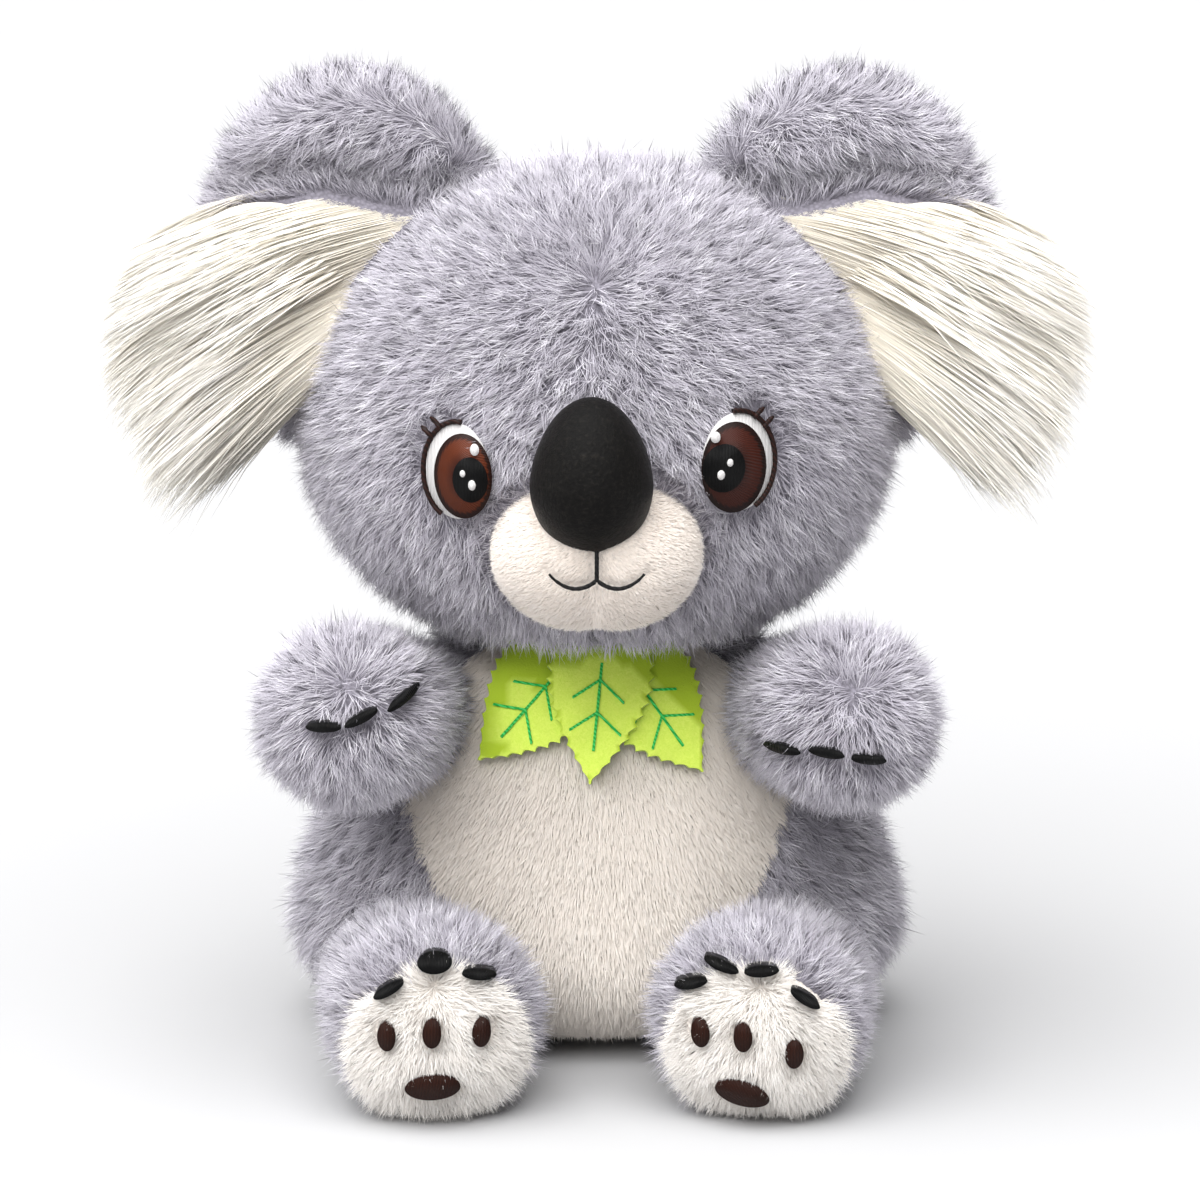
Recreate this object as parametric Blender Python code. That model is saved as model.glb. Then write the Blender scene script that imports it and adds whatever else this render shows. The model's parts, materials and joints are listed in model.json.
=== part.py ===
# Plush koala, sitting: sewn plush skins over stuffed cores, with a turning head,
# swinging arms, splaying legs, folding ears and a lifting spray of felt leaves.
# Metres, +Z up. The toy faces -Y; left and right are its sides as seen from the front.
import math

import bmesh
import bpy
from mathutils import Matrix, Vector

# Cloth and clearances
SKIN = 0.007  # plush cloth with its standing pile
SEAM_GAP = 0.0003  # between pieces that touch
BASE_CUT = 0.0005  # how deep a form is pressed flat where it rests
REACH = 0.4  # half the side of the blocks that trim whole forms

# Head, wider than deep, cut flat at the neck seam
NECK_HEIGHT = 0.130
HEAD_HALF_WIDTH = 0.091
HEAD_FRONT = 0.074
HEAD_BACK = 0.072
HEAD_UP = 0.086
HEAD_DOWN = 0.071
HEAD_RISE = 0.057  # of its middle above the neck
HEAD_HEIGHT = NECK_HEIGHT + HEAD_RISE
HEAD_SET_BACK = 0.010

# Torso, a pear that leans back at its seat
TORSO_HALF_WIDTH = 0.095
TORSO_FRONT = 0.064
TORSO_BACK = 0.064
TORSO_UP = 0.113
TORSO_HEIGHT = 0.034
TORSO_SET_BACK = 0.028
TORSO_TAPER_SHARE = 0.20
TORSO_LEAN_SHARE = 0.09
TORSO_FULLNESS_SHARE = 0.55

# White belly panel, a shield that narrows to the floor
BELLY_HALF_WIDTH = 0.057
BELLY_WIDEST_HEIGHT = 0.086
BELLY_RISE = 0.080
BELLY_DROP = 0.100
BELLY_TOP_BEND_SHARE = 2.0
BELLY_FOOT_BEND_SHARE = 1.5

# Arm, a stub that swells to its paw
ARM_ROOT_RADIUS = 0.023
ARM_PAW_RADIUS = 0.029
ARM_PAW_END = 0.027
SHOULDER_OUT = 0.059
SHOULDER_SET_BACK = -0.003
SHOULDER_DROP = 0.026  # below the neck
SHOULDER_HEIGHT = NECK_HEIGHT - SHOULDER_DROP
PAW_OUT = 0.072
PAW_SET_BACK = -0.043
PAW_RISE = 0.008  # above the shoulder
PAW_HEIGHT = SHOULDER_HEIGHT + PAW_RISE
ARM_SWINGS = (-20.0, 10.0)  # degrees down and up
LIMB_PLAY = 0.0010  # left round a limb at the ends of its swing

# Leg, a stub that lies on the floor and ends in a white sole
LEG_ROOT_RADIUS = 0.0315
LEG_FOOT_RADIUS = 0.033
LEG_FLAT_SHARE = 0.91
LEG_FOOT_END = 0.029
HIP_OUT = 0.051
HIP_SET_BACK = -0.036
FOOT_OUT = 0.047
FOOT_SET_BACK = -0.063
LEG_SPLAYS = (-5.0, 20.0)  # degrees in and out
SOLE_HALF_WIDTH = 0.0262
SOLE_HALF_HEIGHT = 0.0245
SOLE_HEIGHT = 0.0240
SOLE_INSET = 0.0015
SOLE_SET_BACK = -0.074
ROOT_OPENING = 0.011  # radius of the opening that a limb is stuffed through

# Ear, a thick cupped disc on the side of the head, with a long white tuft in it
EAR_OUT = 0.072
EAR_RISE = 0.051  # above the middle of the head
EAR_HEIGHT = HEAD_HEIGHT + EAR_RISE
EAR_SET_BACK = 0.012
EAR_HALF_WIDTH = 0.050
EAR_HALF_HEIGHT = 0.061
EAR_HALF_DEPTH = 0.021
TUFT_OUT = 0.098
TUFT_DROP = 0.012  # below the middle of the ear
TUFT_HEIGHT = EAR_HEIGHT - TUFT_DROP
TUFT_SET_BACK = 0.000
TUFT_HALF_WIDTH = 0.043
TUFT_HALF_HEIGHT = 0.044
TUFT_HALF_DEPTH = 0.021
EAR_FOLD = 10.0  # degrees each way
EAR_FOLD_PLAY = 0.0008
EAR_HINGE_OUT = 0.0655
EAR_HINGE_RISE = 0.0115
EAR_HINGE_HEIGHT = EAR_HEIGHT + EAR_HINGE_RISE
EAR_HINGE_SLANT = 32.0  # degrees between the seam and the upright

# Muzzle, nose and mouth
MUZZLE_LOBE_OUT = 0.0055
MUZZLE_HALF_WIDTH = 0.0255
MUZZLE_UP = 0.024
MUZZLE_DOWN = 0.023
MUZZLE_HALF_DEPTH = 0.027
MUZZLE_DROP = 0.023  # below the middle of the head
MUZZLE_HEIGHT = HEAD_HEIGHT - MUZZLE_DROP
MUZZLE_SET_BACK = -0.057
NOSE_ACROSS = -0.0015
NOSE_HALF_WIDTH = 0.0175
NOSE_UP = 0.027
NOSE_DOWN = 0.0175
NOSE_HALF_DEPTH = 0.018
NOSE_RISE = 0.0225  # above the middle of the muzzle
NOSE_HEIGHT = MUZZLE_HEIGHT + NOSE_RISE
NOSE_SET_BACK = -0.073
NOSE_TAPER_SHARE = 0.10
STITCH_RADIUS = 0.0005
STITCH_LIFT = 0.0009
MOUTH_HALF_WIDTH = 0.0134
MOUTH_DROP = 0.0028  # below the middle of the muzzle
MOUTH_HEIGHT = MUZZLE_HEIGHT - MOUTH_DROP
MOUTH_SAG = 0.0033
MOUTH_CORNER_RISE = 0.0016
MOUTH_ROUND_SHARE = 0.8
LIP_LENGTH = 0.0060
LIP_TOP_HEIGHT = MOUTH_HEIGHT + LIP_LENGTH

# Embroidered eyes
EYE_OUT = 0.0405
EYE_RISE = 0.001  # above the middle of the head
EYE_HEIGHT = HEAD_HEIGHT + EYE_RISE
EYE_HALF_WIDTH = 0.0118
EYE_HALF_HEIGHT = 0.0148
IRIS_INSET = 0.0016
IRIS_DROP = 0.0014
IRIS_HALF_WIDTH = 0.0092
IRIS_HALF_HEIGHT = 0.0123
PUPIL_INSET = 0.0026
PUPIL_DROP = 0.0002
PUPIL_HALF_WIDTH = 0.0056
PUPIL_HALF_HEIGHT = 0.0068
EYE_THICKNESS = 0.0013

# Claws, long satin stitches, and pads of the paws and feet
CLAW_LENGTH = 0.0096
CLAW_WIDTH = 0.0032
CLAW_THICKNESS = 0.0015
PAD_THICKNESS = 0.0010
TOE_PAD_WIDTH = 0.0058
TOE_PAD_HEIGHT = 0.0080
SOLE_PAD_WIDTH = 0.0155
SOLE_PAD_HEIGHT = 0.0078

# Leaves, pinked felt with an embroidered vein, sewn on under the chin
LEAF_LENGTH = 0.045
LEAF_HALF_WIDTH = 0.0150
LEAF_THICKNESS = 0.0017
LEAF_TOP_DROP = 0.0032  # below the neck
LEAF_TOP_HEIGHT = NECK_HEIGHT - LEAF_TOP_DROP
LEAF_HINGE_SET_BACK = -0.0095  # of the line in the neck seam that the leaves lift about
LEAF_SIDE_OUT = 0.005
LEAF_MIDDLE_OUT = 0.0026
LEAF_MIDDLE_RISE = 0.0065  # of its root, out of sight in the neck seam
LEAF_TOOTH = 0.0011
LEAF_TEETH = 9  # on each edge
LEAF_BASE_SHARE = 0.20
LEAF_SWELL_SHARE = 0.82
VEIN_WIDTH = 0.0012
VEIN_THICKNESS = 0.0005
VEIN_TOP_SHARE = 0.24
VEIN_END_SHARE = 0.78
VEIN_BRANCH_SHARES = (0.34, 0.54)
VEIN_BRANCH_LENGTH_SHARE = 0.17
VEIN_LEAN_SHARE = 0.75  # how far a branch falls for its length
VEIN_FOOT_SHARE = 1.6  # of the branch's own width, where it leaves the midrib

# Facets
BIG_SEGMENTS = 24
BIG_RINGS = 14
SMALL_SEGMENTS = 16
SMALL_RINGS = 10
OUTLINE_SEGMENTS = 16
CLAW_SEGMENTS = 12
SMOOTH_ANGLE = 40.0  # degrees, sharper edges stay sharp
CLOTH_ROUGHNESS = 0.9
THREAD_ROUGHNESS = 0.5

SIDES = {"left": -1, "right": 1}

# Places on the front of each limb, across and up from the limb's own middle,
# in shares of its paw or foot radius, with the turn of each mark in degrees.
PAW_CLAW_SHARES = {
    "left": ((-0.18, 0.12, 2), (0.20, 0.21, 25), (0.62, 0.36, 32)),
    "right": ((-0.70, -0.17, 0), (-0.26, -0.15, -8), (0.17, -0.22, -8)),
}
FOOT_CLAW_SHARES = {
    "left": ((-0.37, 0.43, 30), (0.02, 0.64, 0), (0.40, 0.53, -10)),
    "right": ((-0.60, 0.43, 20), (-0.34, 0.60, -12), (0.00, 0.58, 4), (0.37, 0.36, -33)),
}
TOE_PAD_SHARES = {
    "left": ((-0.39, 0.03, 0), (0.00, 0.07, 0), (0.42, 0.05, 0)),
    "right": ((-0.52, 0.03, 0), (-0.16, 0.03, 0), (0.28, -0.12, 0)),
}
SOLE_PAD_SHARES = {"left": (0.00, -0.43, 3), "right": (-0.16, -0.50, -15)}
LEAF_TURNS = {"middle": -6.0, "left": -42.0, "right": 36.0}

GREY = (0.36, 0.35, 0.42)
WHITE = (0.87, 0.83, 0.78)
CREAM = (0.86, 0.81, 0.68)
STUFFING = (0.90, 0.90, 0.88)
BLACK = (0.012, 0.011, 0.012)
DARK_BROWN = (0.030, 0.010, 0.008)
IRIS_BROWN = (0.120, 0.028, 0.010)
LIME = (0.60, 0.84, 0.09)
VEIN_GREEN = (0.03, 0.38, 0.14)

cutters = {}


def clear_scene():
    for ob in list(bpy.data.objects):
        bpy.data.objects.remove(ob, do_unlink=True)


def finish_of(name, colour, roughness):
    """A cloth or thread with its own colour and roughness."""
    material = bpy.data.materials.new(name)
    material.use_nodes = True
    shader = material.node_tree.nodes["Principled BSDF"]
    shader.inputs["Base Color"].default_value = (*colour, 1.0)
    shader.inputs["Roughness"].default_value = roughness
    shader.inputs["Metallic"].default_value = 0.0
    material.diffuse_color = (*colour, 1.0)
    return material


def place(name, bm):
    """Puts a finished bmesh into the scene as a smooth object."""
    bmesh.ops.recalc_face_normals(bm, faces=bm.faces)
    mesh = bpy.data.meshes.new(name)
    bm.to_mesh(mesh)
    bm.free()
    mesh.shade_smooth()
    mesh.set_sharp_from_angle(angle=math.radians(SMOOTH_ANGLE))
    ob = bpy.data.objects.new(name, mesh)
    bpy.context.collection.objects.link(ob)
    return ob


def cutter_of(name, make, *sizes):
    """A hidden form that others are cut with, made once for each set of sizes."""
    key = (name, *sizes)
    if key not in cutters:
        ob = make(f"cutter_{len(cutters)}_{name}", *sizes)
        ob.hide_render = True
        ob.display_type = "WIRE"
        cutters[key] = ob
    return cutters[key]


def cut(ob, operation, cutter):
    step = ob.modifiers.new(cutter.name, "BOOLEAN")
    step.solver = "EXACT"
    step.operation = operation
    step.object = cutter


def ball(segments, rings):
    bm = bmesh.new()
    bmesh.ops.create_uvsphere(bm, u_segments=segments, v_segments=rings, radius=1.0)
    return bm


def egg(
    name,
    centre,
    half_width,
    front,
    back,
    up,
    down,
    taper_share=0.0,
    lean_share=0.0,
    fullness_share=1.0,
    facets=(BIG_SEGMENTS, BIG_RINGS),
):
    """A ball with its own reach each way, drawn in towards its top and filled out at its foot."""
    bm = ball(*facets)
    for v in bm.verts:
        x, y, z = v.co
        around = math.hypot(x, y)
        ring = around * (1 - taper_share * z) if z > 0 else around**fullness_share
        if around > 0:
            x, y = x / around * ring, y / around * ring
        height = z * (up if z > 0 else down)
        lean = lean_share * height if z > 0 else 0
        v.co = (x * half_width, y * (front if y < 0 else back) - lean, height)
        v.co += Vector(centre)
    return place(name, bm)


def limb(name, root, tip, root_radius, tip_radius, end, flat_share=1.0):
    """A stub with a round root about its joint that swells to a round end."""
    bm = ball(SMALL_SEGMENTS, SMALL_RINGS)
    root, tip = Vector(root), Vector(tip)
    turn = (tip - root).to_track_quat("Z", "Y").to_matrix()
    for v in bm.verts:
        x, y, z = v.co
        if z < 0:
            v.co = root + turn @ Vector((x, y, z)) * root_radius
        else:
            v.co = tip + turn @ Vector((x * tip_radius, y * tip_radius, z * end))
        v.co.z = root.z + (v.co.z - root.z) * flat_share
    return place(name, bm)


def block(name, low, high):
    """A plain box between two corners, for trimming."""
    bm = bmesh.new()
    bmesh.ops.create_cube(bm, size=1.0)
    size = Vector(high) - Vector(low)
    middle = (Vector(high) + Vector(low)) / 2
    bmesh.ops.scale(bm, vec=size, verts=bm.verts)
    bmesh.ops.translate(bm, vec=middle, verts=bm.verts)
    return place(name, bm)


def above(height):
    return cutter_of("above", block, (-REACH, -REACH, height), (REACH, REACH, height + REACH))


def below(height):
    return cutter_of("below", block, (-REACH, -REACH, height - REACH), (REACH, REACH, height))


def head_form(name, grow=0.0):
    return egg(
        name,
        (0, HEAD_SET_BACK, HEAD_HEIGHT),
        HEAD_HALF_WIDTH + grow,
        HEAD_FRONT + grow,
        HEAD_BACK + grow,
        HEAD_UP + grow,
        HEAD_DOWN + grow,
    )


def torso_form(name, grow=0.0):
    return egg(
        name,
        (0, TORSO_SET_BACK, TORSO_HEIGHT),
        TORSO_HALF_WIDTH + grow,
        TORSO_FRONT + grow,
        TORSO_BACK + grow,
        TORSO_UP + grow,
        TORSO_HEIGHT + BASE_CUT + grow,
        TORSO_TAPER_SHARE,
        TORSO_LEAN_SHARE,
        TORSO_FULLNESS_SHARE,
    )


def muzzle_lobe(name, side, grow=0.0):
    return egg(
        name,
        (SIDES[side] * MUZZLE_LOBE_OUT, MUZZLE_SET_BACK, MUZZLE_HEIGHT),
        MUZZLE_HALF_WIDTH + grow,
        MUZZLE_HALF_DEPTH + grow,
        MUZZLE_HALF_DEPTH + grow,
        MUZZLE_UP + grow,
        MUZZLE_DOWN + grow,
        facets=(SMALL_SEGMENTS, SMALL_RINGS),
    )


def shoulder(side):
    return Vector((SIDES[side] * SHOULDER_OUT, SHOULDER_SET_BACK, SHOULDER_HEIGHT))


def paw(side):
    return Vector((SIDES[side] * PAW_OUT, PAW_SET_BACK, PAW_HEIGHT))


def hip(side):
    height = LEG_FOOT_RADIUS * LEG_FLAT_SHARE - BASE_CUT
    return Vector((SIDES[side] * HIP_OUT, HIP_SET_BACK, height))


def foot(side):
    return Vector((SIDES[side] * FOOT_OUT, FOOT_SET_BACK, hip(side).z))


def arm_form(name, side, grow=0.0):
    return limb(
        name,
        shoulder(side),
        paw(side),
        ARM_ROOT_RADIUS + grow,
        ARM_PAW_RADIUS + grow,
        ARM_PAW_END + grow,
    )


def leg_form(name, side, grow=0.0):
    return limb(
        name,
        hip(side),
        foot(side),
        LEG_ROOT_RADIUS + grow,
        LEG_FOOT_RADIUS + grow,
        LEG_FOOT_END + grow,
        LEG_FLAT_SHARE,
    )


def swing(ob, at, axis, angle):
    """Turns a form by some degrees about an axis through a point."""
    turn = Matrix.Rotation(math.radians(angle), 4, axis)
    ob.data.transform(Matrix.Translation(at) @ turn @ Matrix.Translation(-at))
    return ob


def swung_limb(name, form, side, angle, grow):
    """A limb at one end of its swing. Arms swing up and legs splay out as the angle grows."""
    if form is arm_form:
        return swing(form(name, side, grow), shoulder(side), Vector((-1, 0, 0)), angle)
    return swing(form(name, side, grow), hip(side), Vector((0, 0, SIDES[side])), angle)


def prism(name, outline, front=-REACH, back=0.0):
    """An outline of (across, up) points pushed through from front to back."""
    bm = bmesh.new()
    face = bm.faces.new([bm.verts.new((x, front, z)) for x, z in outline])
    pushed = bmesh.ops.extrude_face_region(bm, geom=[face])
    verts = [v for v in pushed["geom"] if isinstance(v, bmesh.types.BMVert)]
    bmesh.ops.translate(bm, vec=(0, back - front, 0), verts=verts)
    return place(name, bm)


def ellipse(across, up, half_width, half_height, turn=0.0, count=OUTLINE_SEGMENTS):
    """Points round an ellipse whose long way is turned by some degrees from level."""
    lean = math.radians(turn)
    points = []
    for n in range(count):
        a = 2 * math.pi * n / count
        x, z = half_width * math.cos(a), half_height * math.sin(a)
        points.append(
            (
                across + x * math.cos(lean) - z * math.sin(lean),
                up + x * math.sin(lean) + z * math.cos(lean),
            )
        )
    return points


def patch(name, outline, host, host_sizes, low, high, back=0.0):
    """A thin piece with the given outline that lies on a form, from low to high above it."""
    ob = prism(name, outline, back=back)
    cut(ob, "INTERSECT", cutter_of(host.__name__, host, *host_sizes, high))
    cut(ob, "DIFFERENCE", cutter_of(host.__name__, host, *host_sizes, low))
    return ob


def belly_outline(grow=0.0):
    """A shield: round at the top and drawn to a point at the floor."""
    right = []
    for n in range(OUTLINE_SEGMENTS + 1):
        share = 1 - 2 * n / OUTLINE_SEGMENTS
        drop = BELLY_RISE if share > 0 else BELLY_DROP
        bend = BELLY_TOP_BEND_SHARE if share > 0 else BELLY_FOOT_BEND_SHARE
        width = BELLY_HALF_WIDTH * (1 - abs(share) ** bend)
        right.append((width + grow, BELLY_WIDEST_HEIGHT + share * (drop + grow)))
    return right + [(-x, z) for x, z in reversed(right)]


def make_body():
    hole = tuple(belly_outline(SEAM_GAP))
    edge = tuple(belly_outline())
    skin = torso_form("body_skin")
    panel = torso_form("belly_panel")
    fill = torso_form("body_fill", -SKIN - SEAM_GAP)
    cut(skin, "DIFFERENCE", cutter_of("belly_hole", prism, hole, -REACH, SEAM_GAP))
    cut(panel, "INTERSECT", cutter_of("belly_edge", prism, edge))
    for ob in (skin, panel):
        cut(ob, "DIFFERENCE", cutter_of("torso_form", torso_form, -SKIN))
        cut(ob, "DIFFERENCE", below(0))
    for ob in (skin, panel, fill):
        cut(ob, "DIFFERENCE", above(NECK_HEIGHT))
        for side in SIDES:
            for form, angles in ((arm_form, ARM_SWINGS), (leg_form, LEG_SPLAYS)):
                cut(ob, "DIFFERENCE", cutter_of(form.__name__, form, side, SEAM_GAP))
                for angle in angles:
                    sizes = (form, side, angle, LIMB_PLAY)
                    cut(ob, "DIFFERENCE", cutter_of("swung_limb", swung_limb, *sizes))
    return {skin: GREY, panel: WHITE, fill: STUFFING}


def make_head():
    skin = head_form("head_skin")
    cut(skin, "DIFFERENCE", cutter_of("head_form", head_form, -SKIN))
    fill = head_form("head_fill", -SKIN - SEAM_GAP)
    for ob in (skin, fill):
        cut(ob, "DIFFERENCE", below(NECK_HEIGHT + SEAM_GAP))
    return {skin: GREY, fill: STUFFING}


def opening(name, root, tip, radius):
    """The round hole at the root of a limb's skin, at its middle."""
    middle = Vector(root) - (Vector(tip) - Vector(root)).normalized() * radius
    sizes = [ROOT_OPENING] * 5
    return egg(name, middle, *sizes, facets=(SMALL_SEGMENTS, SMALL_RINGS))


def make_arm(side):
    skin = arm_form(f"arm_skin_{side}", side)
    fill = arm_form(f"arm_fill_{side}", side, -SKIN - SEAM_GAP)
    root, tip = tuple(shoulder(side)), tuple(paw(side))
    cut(skin, "DIFFERENCE", cutter_of("arm_form", arm_form, side, -SKIN))
    cut(skin, "DIFFERENCE", cutter_of("opening", opening, root, tip, ARM_ROOT_RADIUS))
    return {skin: GREY, fill: STUFFING}


def make_leg(side):
    across = SIDES[side] * (FOOT_OUT - SOLE_INSET)
    half = (SOLE_HALF_WIDTH, SOLE_HALF_HEIGHT)
    edge = ellipse(across, SOLE_HEIGHT, *half)
    hole = tuple(ellipse(across, SOLE_HEIGHT, *(size + SEAM_GAP for size in half)))
    skin = leg_form(f"leg_skin_{side}", side)
    sole = patch(f"sole_{side}", edge, leg_form, (side,), -SKIN, 0.0, back=SOLE_SET_BACK)
    fill = leg_form(f"leg_fill_{side}", side, -SKIN - SEAM_GAP)
    root, tip = tuple(hip(side)), tuple(foot(side))
    cut(skin, "DIFFERENCE", cutter_of("leg_form", leg_form, side, -SKIN))
    cut(skin, "DIFFERENCE", cutter_of("opening", opening, root, tip, LEG_ROOT_RADIUS))
    front, back = -REACH, SOLE_SET_BACK + SEAM_GAP
    cut(skin, "DIFFERENCE", cutter_of("sole_hole", prism, hole, front, back))
    for ob in (skin, sole):
        cut(ob, "DIFFERENCE", below(0))
    return {skin: GREY, sole: WHITE, fill: STUFFING}


def ear_disc(name, side, grow=0.0):
    return egg(
        name,
        (SIDES[side] * EAR_OUT, EAR_SET_BACK, EAR_HEIGHT),
        EAR_HALF_WIDTH + grow,
        EAR_HALF_DEPTH + grow,
        EAR_HALF_DEPTH + grow,
        EAR_HALF_HEIGHT + grow,
        EAR_HALF_HEIGHT + grow,
        facets=(SMALL_SEGMENTS, SMALL_RINGS),
    )


def ear_tuft(name, side, grow=0.0):
    return egg(
        name,
        (SIDES[side] * TUFT_OUT, TUFT_SET_BACK, TUFT_HEIGHT),
        TUFT_HALF_WIDTH + grow,
        TUFT_HALF_DEPTH + grow,
        TUFT_HALF_DEPTH + grow,
        TUFT_HALF_HEIGHT + grow,
        TUFT_HALF_HEIGHT + grow,
        facets=(SMALL_SEGMENTS, SMALL_RINGS),
    )


def ear_hinge(side):
    """A point on the seam that an ear folds on, level with the middle of the seam."""
    return Vector((SIDES[side] * EAR_HINGE_OUT, EAR_SET_BACK, EAR_HINGE_HEIGHT))


def head_past_ear(name, side, angle, grow):
    """The head as the ear meets it when the ear is folded by some degrees on its seam."""
    slant = math.radians(EAR_HINGE_SLANT)
    along = Vector((SIDES[side] * math.sin(slant), 0, -math.cos(slant)))
    return swing(head_form(name, grow), ear_hinge(side), along, angle)


def make_ear(side):
    disc = ear_disc(f"ear_back_{side}", side)
    tuft = ear_tuft(f"ear_tuft_{side}", side)
    cut(disc, "DIFFERENCE", cutter_of("ear_tuft", ear_tuft, side, SEAM_GAP))
    for ob in (disc, tuft):
        cut(ob, "DIFFERENCE", cutter_of("head_form", head_form, SEAM_GAP))
        for angle in (-EAR_FOLD, EAR_FOLD):
            sizes = (side, angle, EAR_FOLD_PLAY)
            cut(ob, "DIFFERENCE", cutter_of("head_past_ear", head_past_ear, *sizes))
    return {disc: GREY, tuft: CREAM}


def nose_form(name, grow=0.0):
    return egg(
        name,
        (NOSE_ACROSS, NOSE_SET_BACK, NOSE_HEIGHT),
        NOSE_HALF_WIDTH + grow,
        NOSE_HALF_DEPTH + grow,
        NOSE_HALF_DEPTH + grow,
        NOSE_UP + grow,
        NOSE_DOWN + grow,
        NOSE_TAPER_SHARE,
        facets=(SMALL_SEGMENTS, SMALL_RINGS),
    )


def muzzle_front(across, up):
    """How far forward the muzzle reaches at a point seen from the front."""
    reach = 0
    for side in SIDES.values():
        x = (across - side * MUZZLE_LOBE_OUT) / MUZZLE_HALF_WIDTH
        tall = MUZZLE_UP if up > MUZZLE_HEIGHT else MUZZLE_DOWN
        z = (up - MUZZLE_HEIGHT) / tall
        reach = max(reach, 1 - x * x - z * z)
    return MUZZLE_SET_BACK - MUZZLE_HALF_DEPTH * math.sqrt(reach)


def thread(name, points):
    """A raised line of stitches along points seen from the front of the muzzle."""
    curve = bpy.data.curves.new(name, "CURVE")
    curve.dimensions = "3D"
    curve.bevel_depth = STITCH_RADIUS
    curve.bevel_resolution = 1
    curve.use_fill_caps = True
    line = curve.splines.new("POLY")
    line.points.add(len(points) - 1)
    for spot, (x, z) in zip(line.points, points):
        spot.co = (x, muzzle_front(x, z) - STITCH_LIFT, z, 1)
    ob = bpy.data.objects.new(name, curve)
    bpy.context.collection.objects.link(ob)
    return ob


def make_muzzle():
    pad = muzzle_lobe("muzzle_pad", "left")
    cut(pad, "UNION", cutter_of("muzzle_lobe", muzzle_lobe, "right", 0.0))
    nose = nose_form("nose_pad")
    for ob in (pad, nose):
        cut(ob, "DIFFERENCE", cutter_of("head_form", head_form, SEAM_GAP))
    for side in SIDES:
        cut(nose, "DIFFERENCE", cutter_of("muzzle_lobe", muzzle_lobe, side, SEAM_GAP))
    smile = []
    for n in range(2 * SMALL_RINGS + 1):
        x = MOUTH_HALF_WIDTH * (n / SMALL_RINGS - 1)
        share = min(abs(x) / MOUTH_HALF_WIDTH, 1)
        sag = MOUTH_SAG * math.sin(math.pi * share) ** MOUTH_ROUND_SHARE
        smile.append((x, MOUTH_HEIGHT - sag + MOUTH_CORNER_RISE * share))
    foot_of_lip = MOUTH_HEIGHT + 2 * STITCH_RADIUS + SEAM_GAP
    rise = (LIP_TOP_HEIGHT - foot_of_lip) / SMALL_RINGS
    lip = [(0, foot_of_lip + n * rise) for n in range(SMALL_RINGS + 1)]
    return {
        pad: WHITE,
        nose: BLACK,
        thread("mouth_stitch", smile): BLACK,
        thread("lip_stitch", lip): BLACK,
    }


def make_eye(side):
    """White, iris and pupil, stitched edge to edge on the face."""
    across, thick = SIDES[side] * EYE_OUT, (SEAM_GAP, SEAM_GAP + EYE_THICKNESS)
    iris_at = (across - SIDES[side] * IRIS_INSET, EYE_HEIGHT - IRIS_DROP)
    pupil_at = (iris_at[0] - SIDES[side] * PUPIL_INSET, iris_at[1] - PUPIL_DROP)
    outlines = {
        "eye_white": (across, EYE_HEIGHT, EYE_HALF_WIDTH, EYE_HALF_HEIGHT),
        "iris": (*iris_at, IRIS_HALF_WIDTH, IRIS_HALF_HEIGHT),
        "pupil": (*pupil_at, PUPIL_HALF_WIDTH, PUPIL_HALF_HEIGHT),
    }
    made = {}
    inner = None
    for kind, colour in (("pupil", BLACK), ("iris", IRIS_BROWN), ("eye_white", WHITE)):
        x, z, half_width, half_height = outlines[kind]
        outline = ellipse(x, z, half_width, half_height)
        ob = patch(f"{kind}_{side}", outline, head_form, (), *thick)
        if inner:
            cut(ob, "DIFFERENCE", inner)
        hole = tuple(ellipse(x, z, half_width + SEAM_GAP, half_height + SEAM_GAP))
        inner = cutter_of(f"{kind}_hole", prism, hole)
        made[ob] = colour
    return made


def marks(kind, places, side, host, size, thickness, colour):
    """A row of embroidered marks on the front of a limb, each as wide and tall as size."""
    middle = paw(side) if host is arm_form else foot(side)
    radius = ARM_PAW_RADIUS if host is arm_form else LEG_FOOT_RADIUS
    half = (size[0] / 2, size[1] / 2)
    made = {}
    for n, (x, z, turn) in enumerate(places, 1):
        name = f"{kind}_{side}" if len(places) == 1 else f"{kind}_{side}_{n}"
        spot = (middle.x + x * radius, middle.z + z * radius)
        outline = ellipse(*spot, *half, turn, CLAW_SEGMENTS)
        ends = (SEAM_GAP, SEAM_GAP + thickness)
        made[patch(name, outline, host, (side,), *ends, back=middle.y)] = colour
    return made


def make_paw_marks(side):
    claw = (CLAW_LENGTH, CLAW_WIDTH)
    return marks("paw_claw", PAW_CLAW_SHARES[side], side, arm_form, claw, CLAW_THICKNESS, BLACK)


def make_foot_marks(side):
    claw, toe = (CLAW_LENGTH, CLAW_WIDTH), (TOE_PAD_WIDTH, TOE_PAD_HEIGHT)
    pad, thin = (SOLE_PAD_WIDTH, SOLE_PAD_HEIGHT), PAD_THICKNESS
    return {
        **marks("foot_claw", FOOT_CLAW_SHARES[side], side, leg_form, claw, CLAW_THICKNESS, BLACK),
        **marks("toe_pad", TOE_PAD_SHARES[side], side, leg_form, toe, thin, DARK_BROWN),
        **marks("sole_pad", (SOLE_PAD_SHARES[side],), side, leg_form, pad, thin, DARK_BROWN),
    }


def along_leaf(which, share, across):
    """A point of a leaf, a share down its length and some way across it."""
    turn = math.radians(LEAF_TURNS[which])
    if which == "middle":
        root = (LEAF_MIDDLE_OUT, LEAF_TOP_HEIGHT + LEAF_MIDDLE_RISE)
    else:
        root = (SIDES[which] * LEAF_SIDE_OUT, LEAF_TOP_HEIGHT)
    down = share * LEAF_LENGTH
    x = root[0] + down * math.sin(turn) + across * math.cos(turn)
    z = root[1] - down * math.cos(turn) + across * math.sin(turn)
    return x, z


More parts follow.
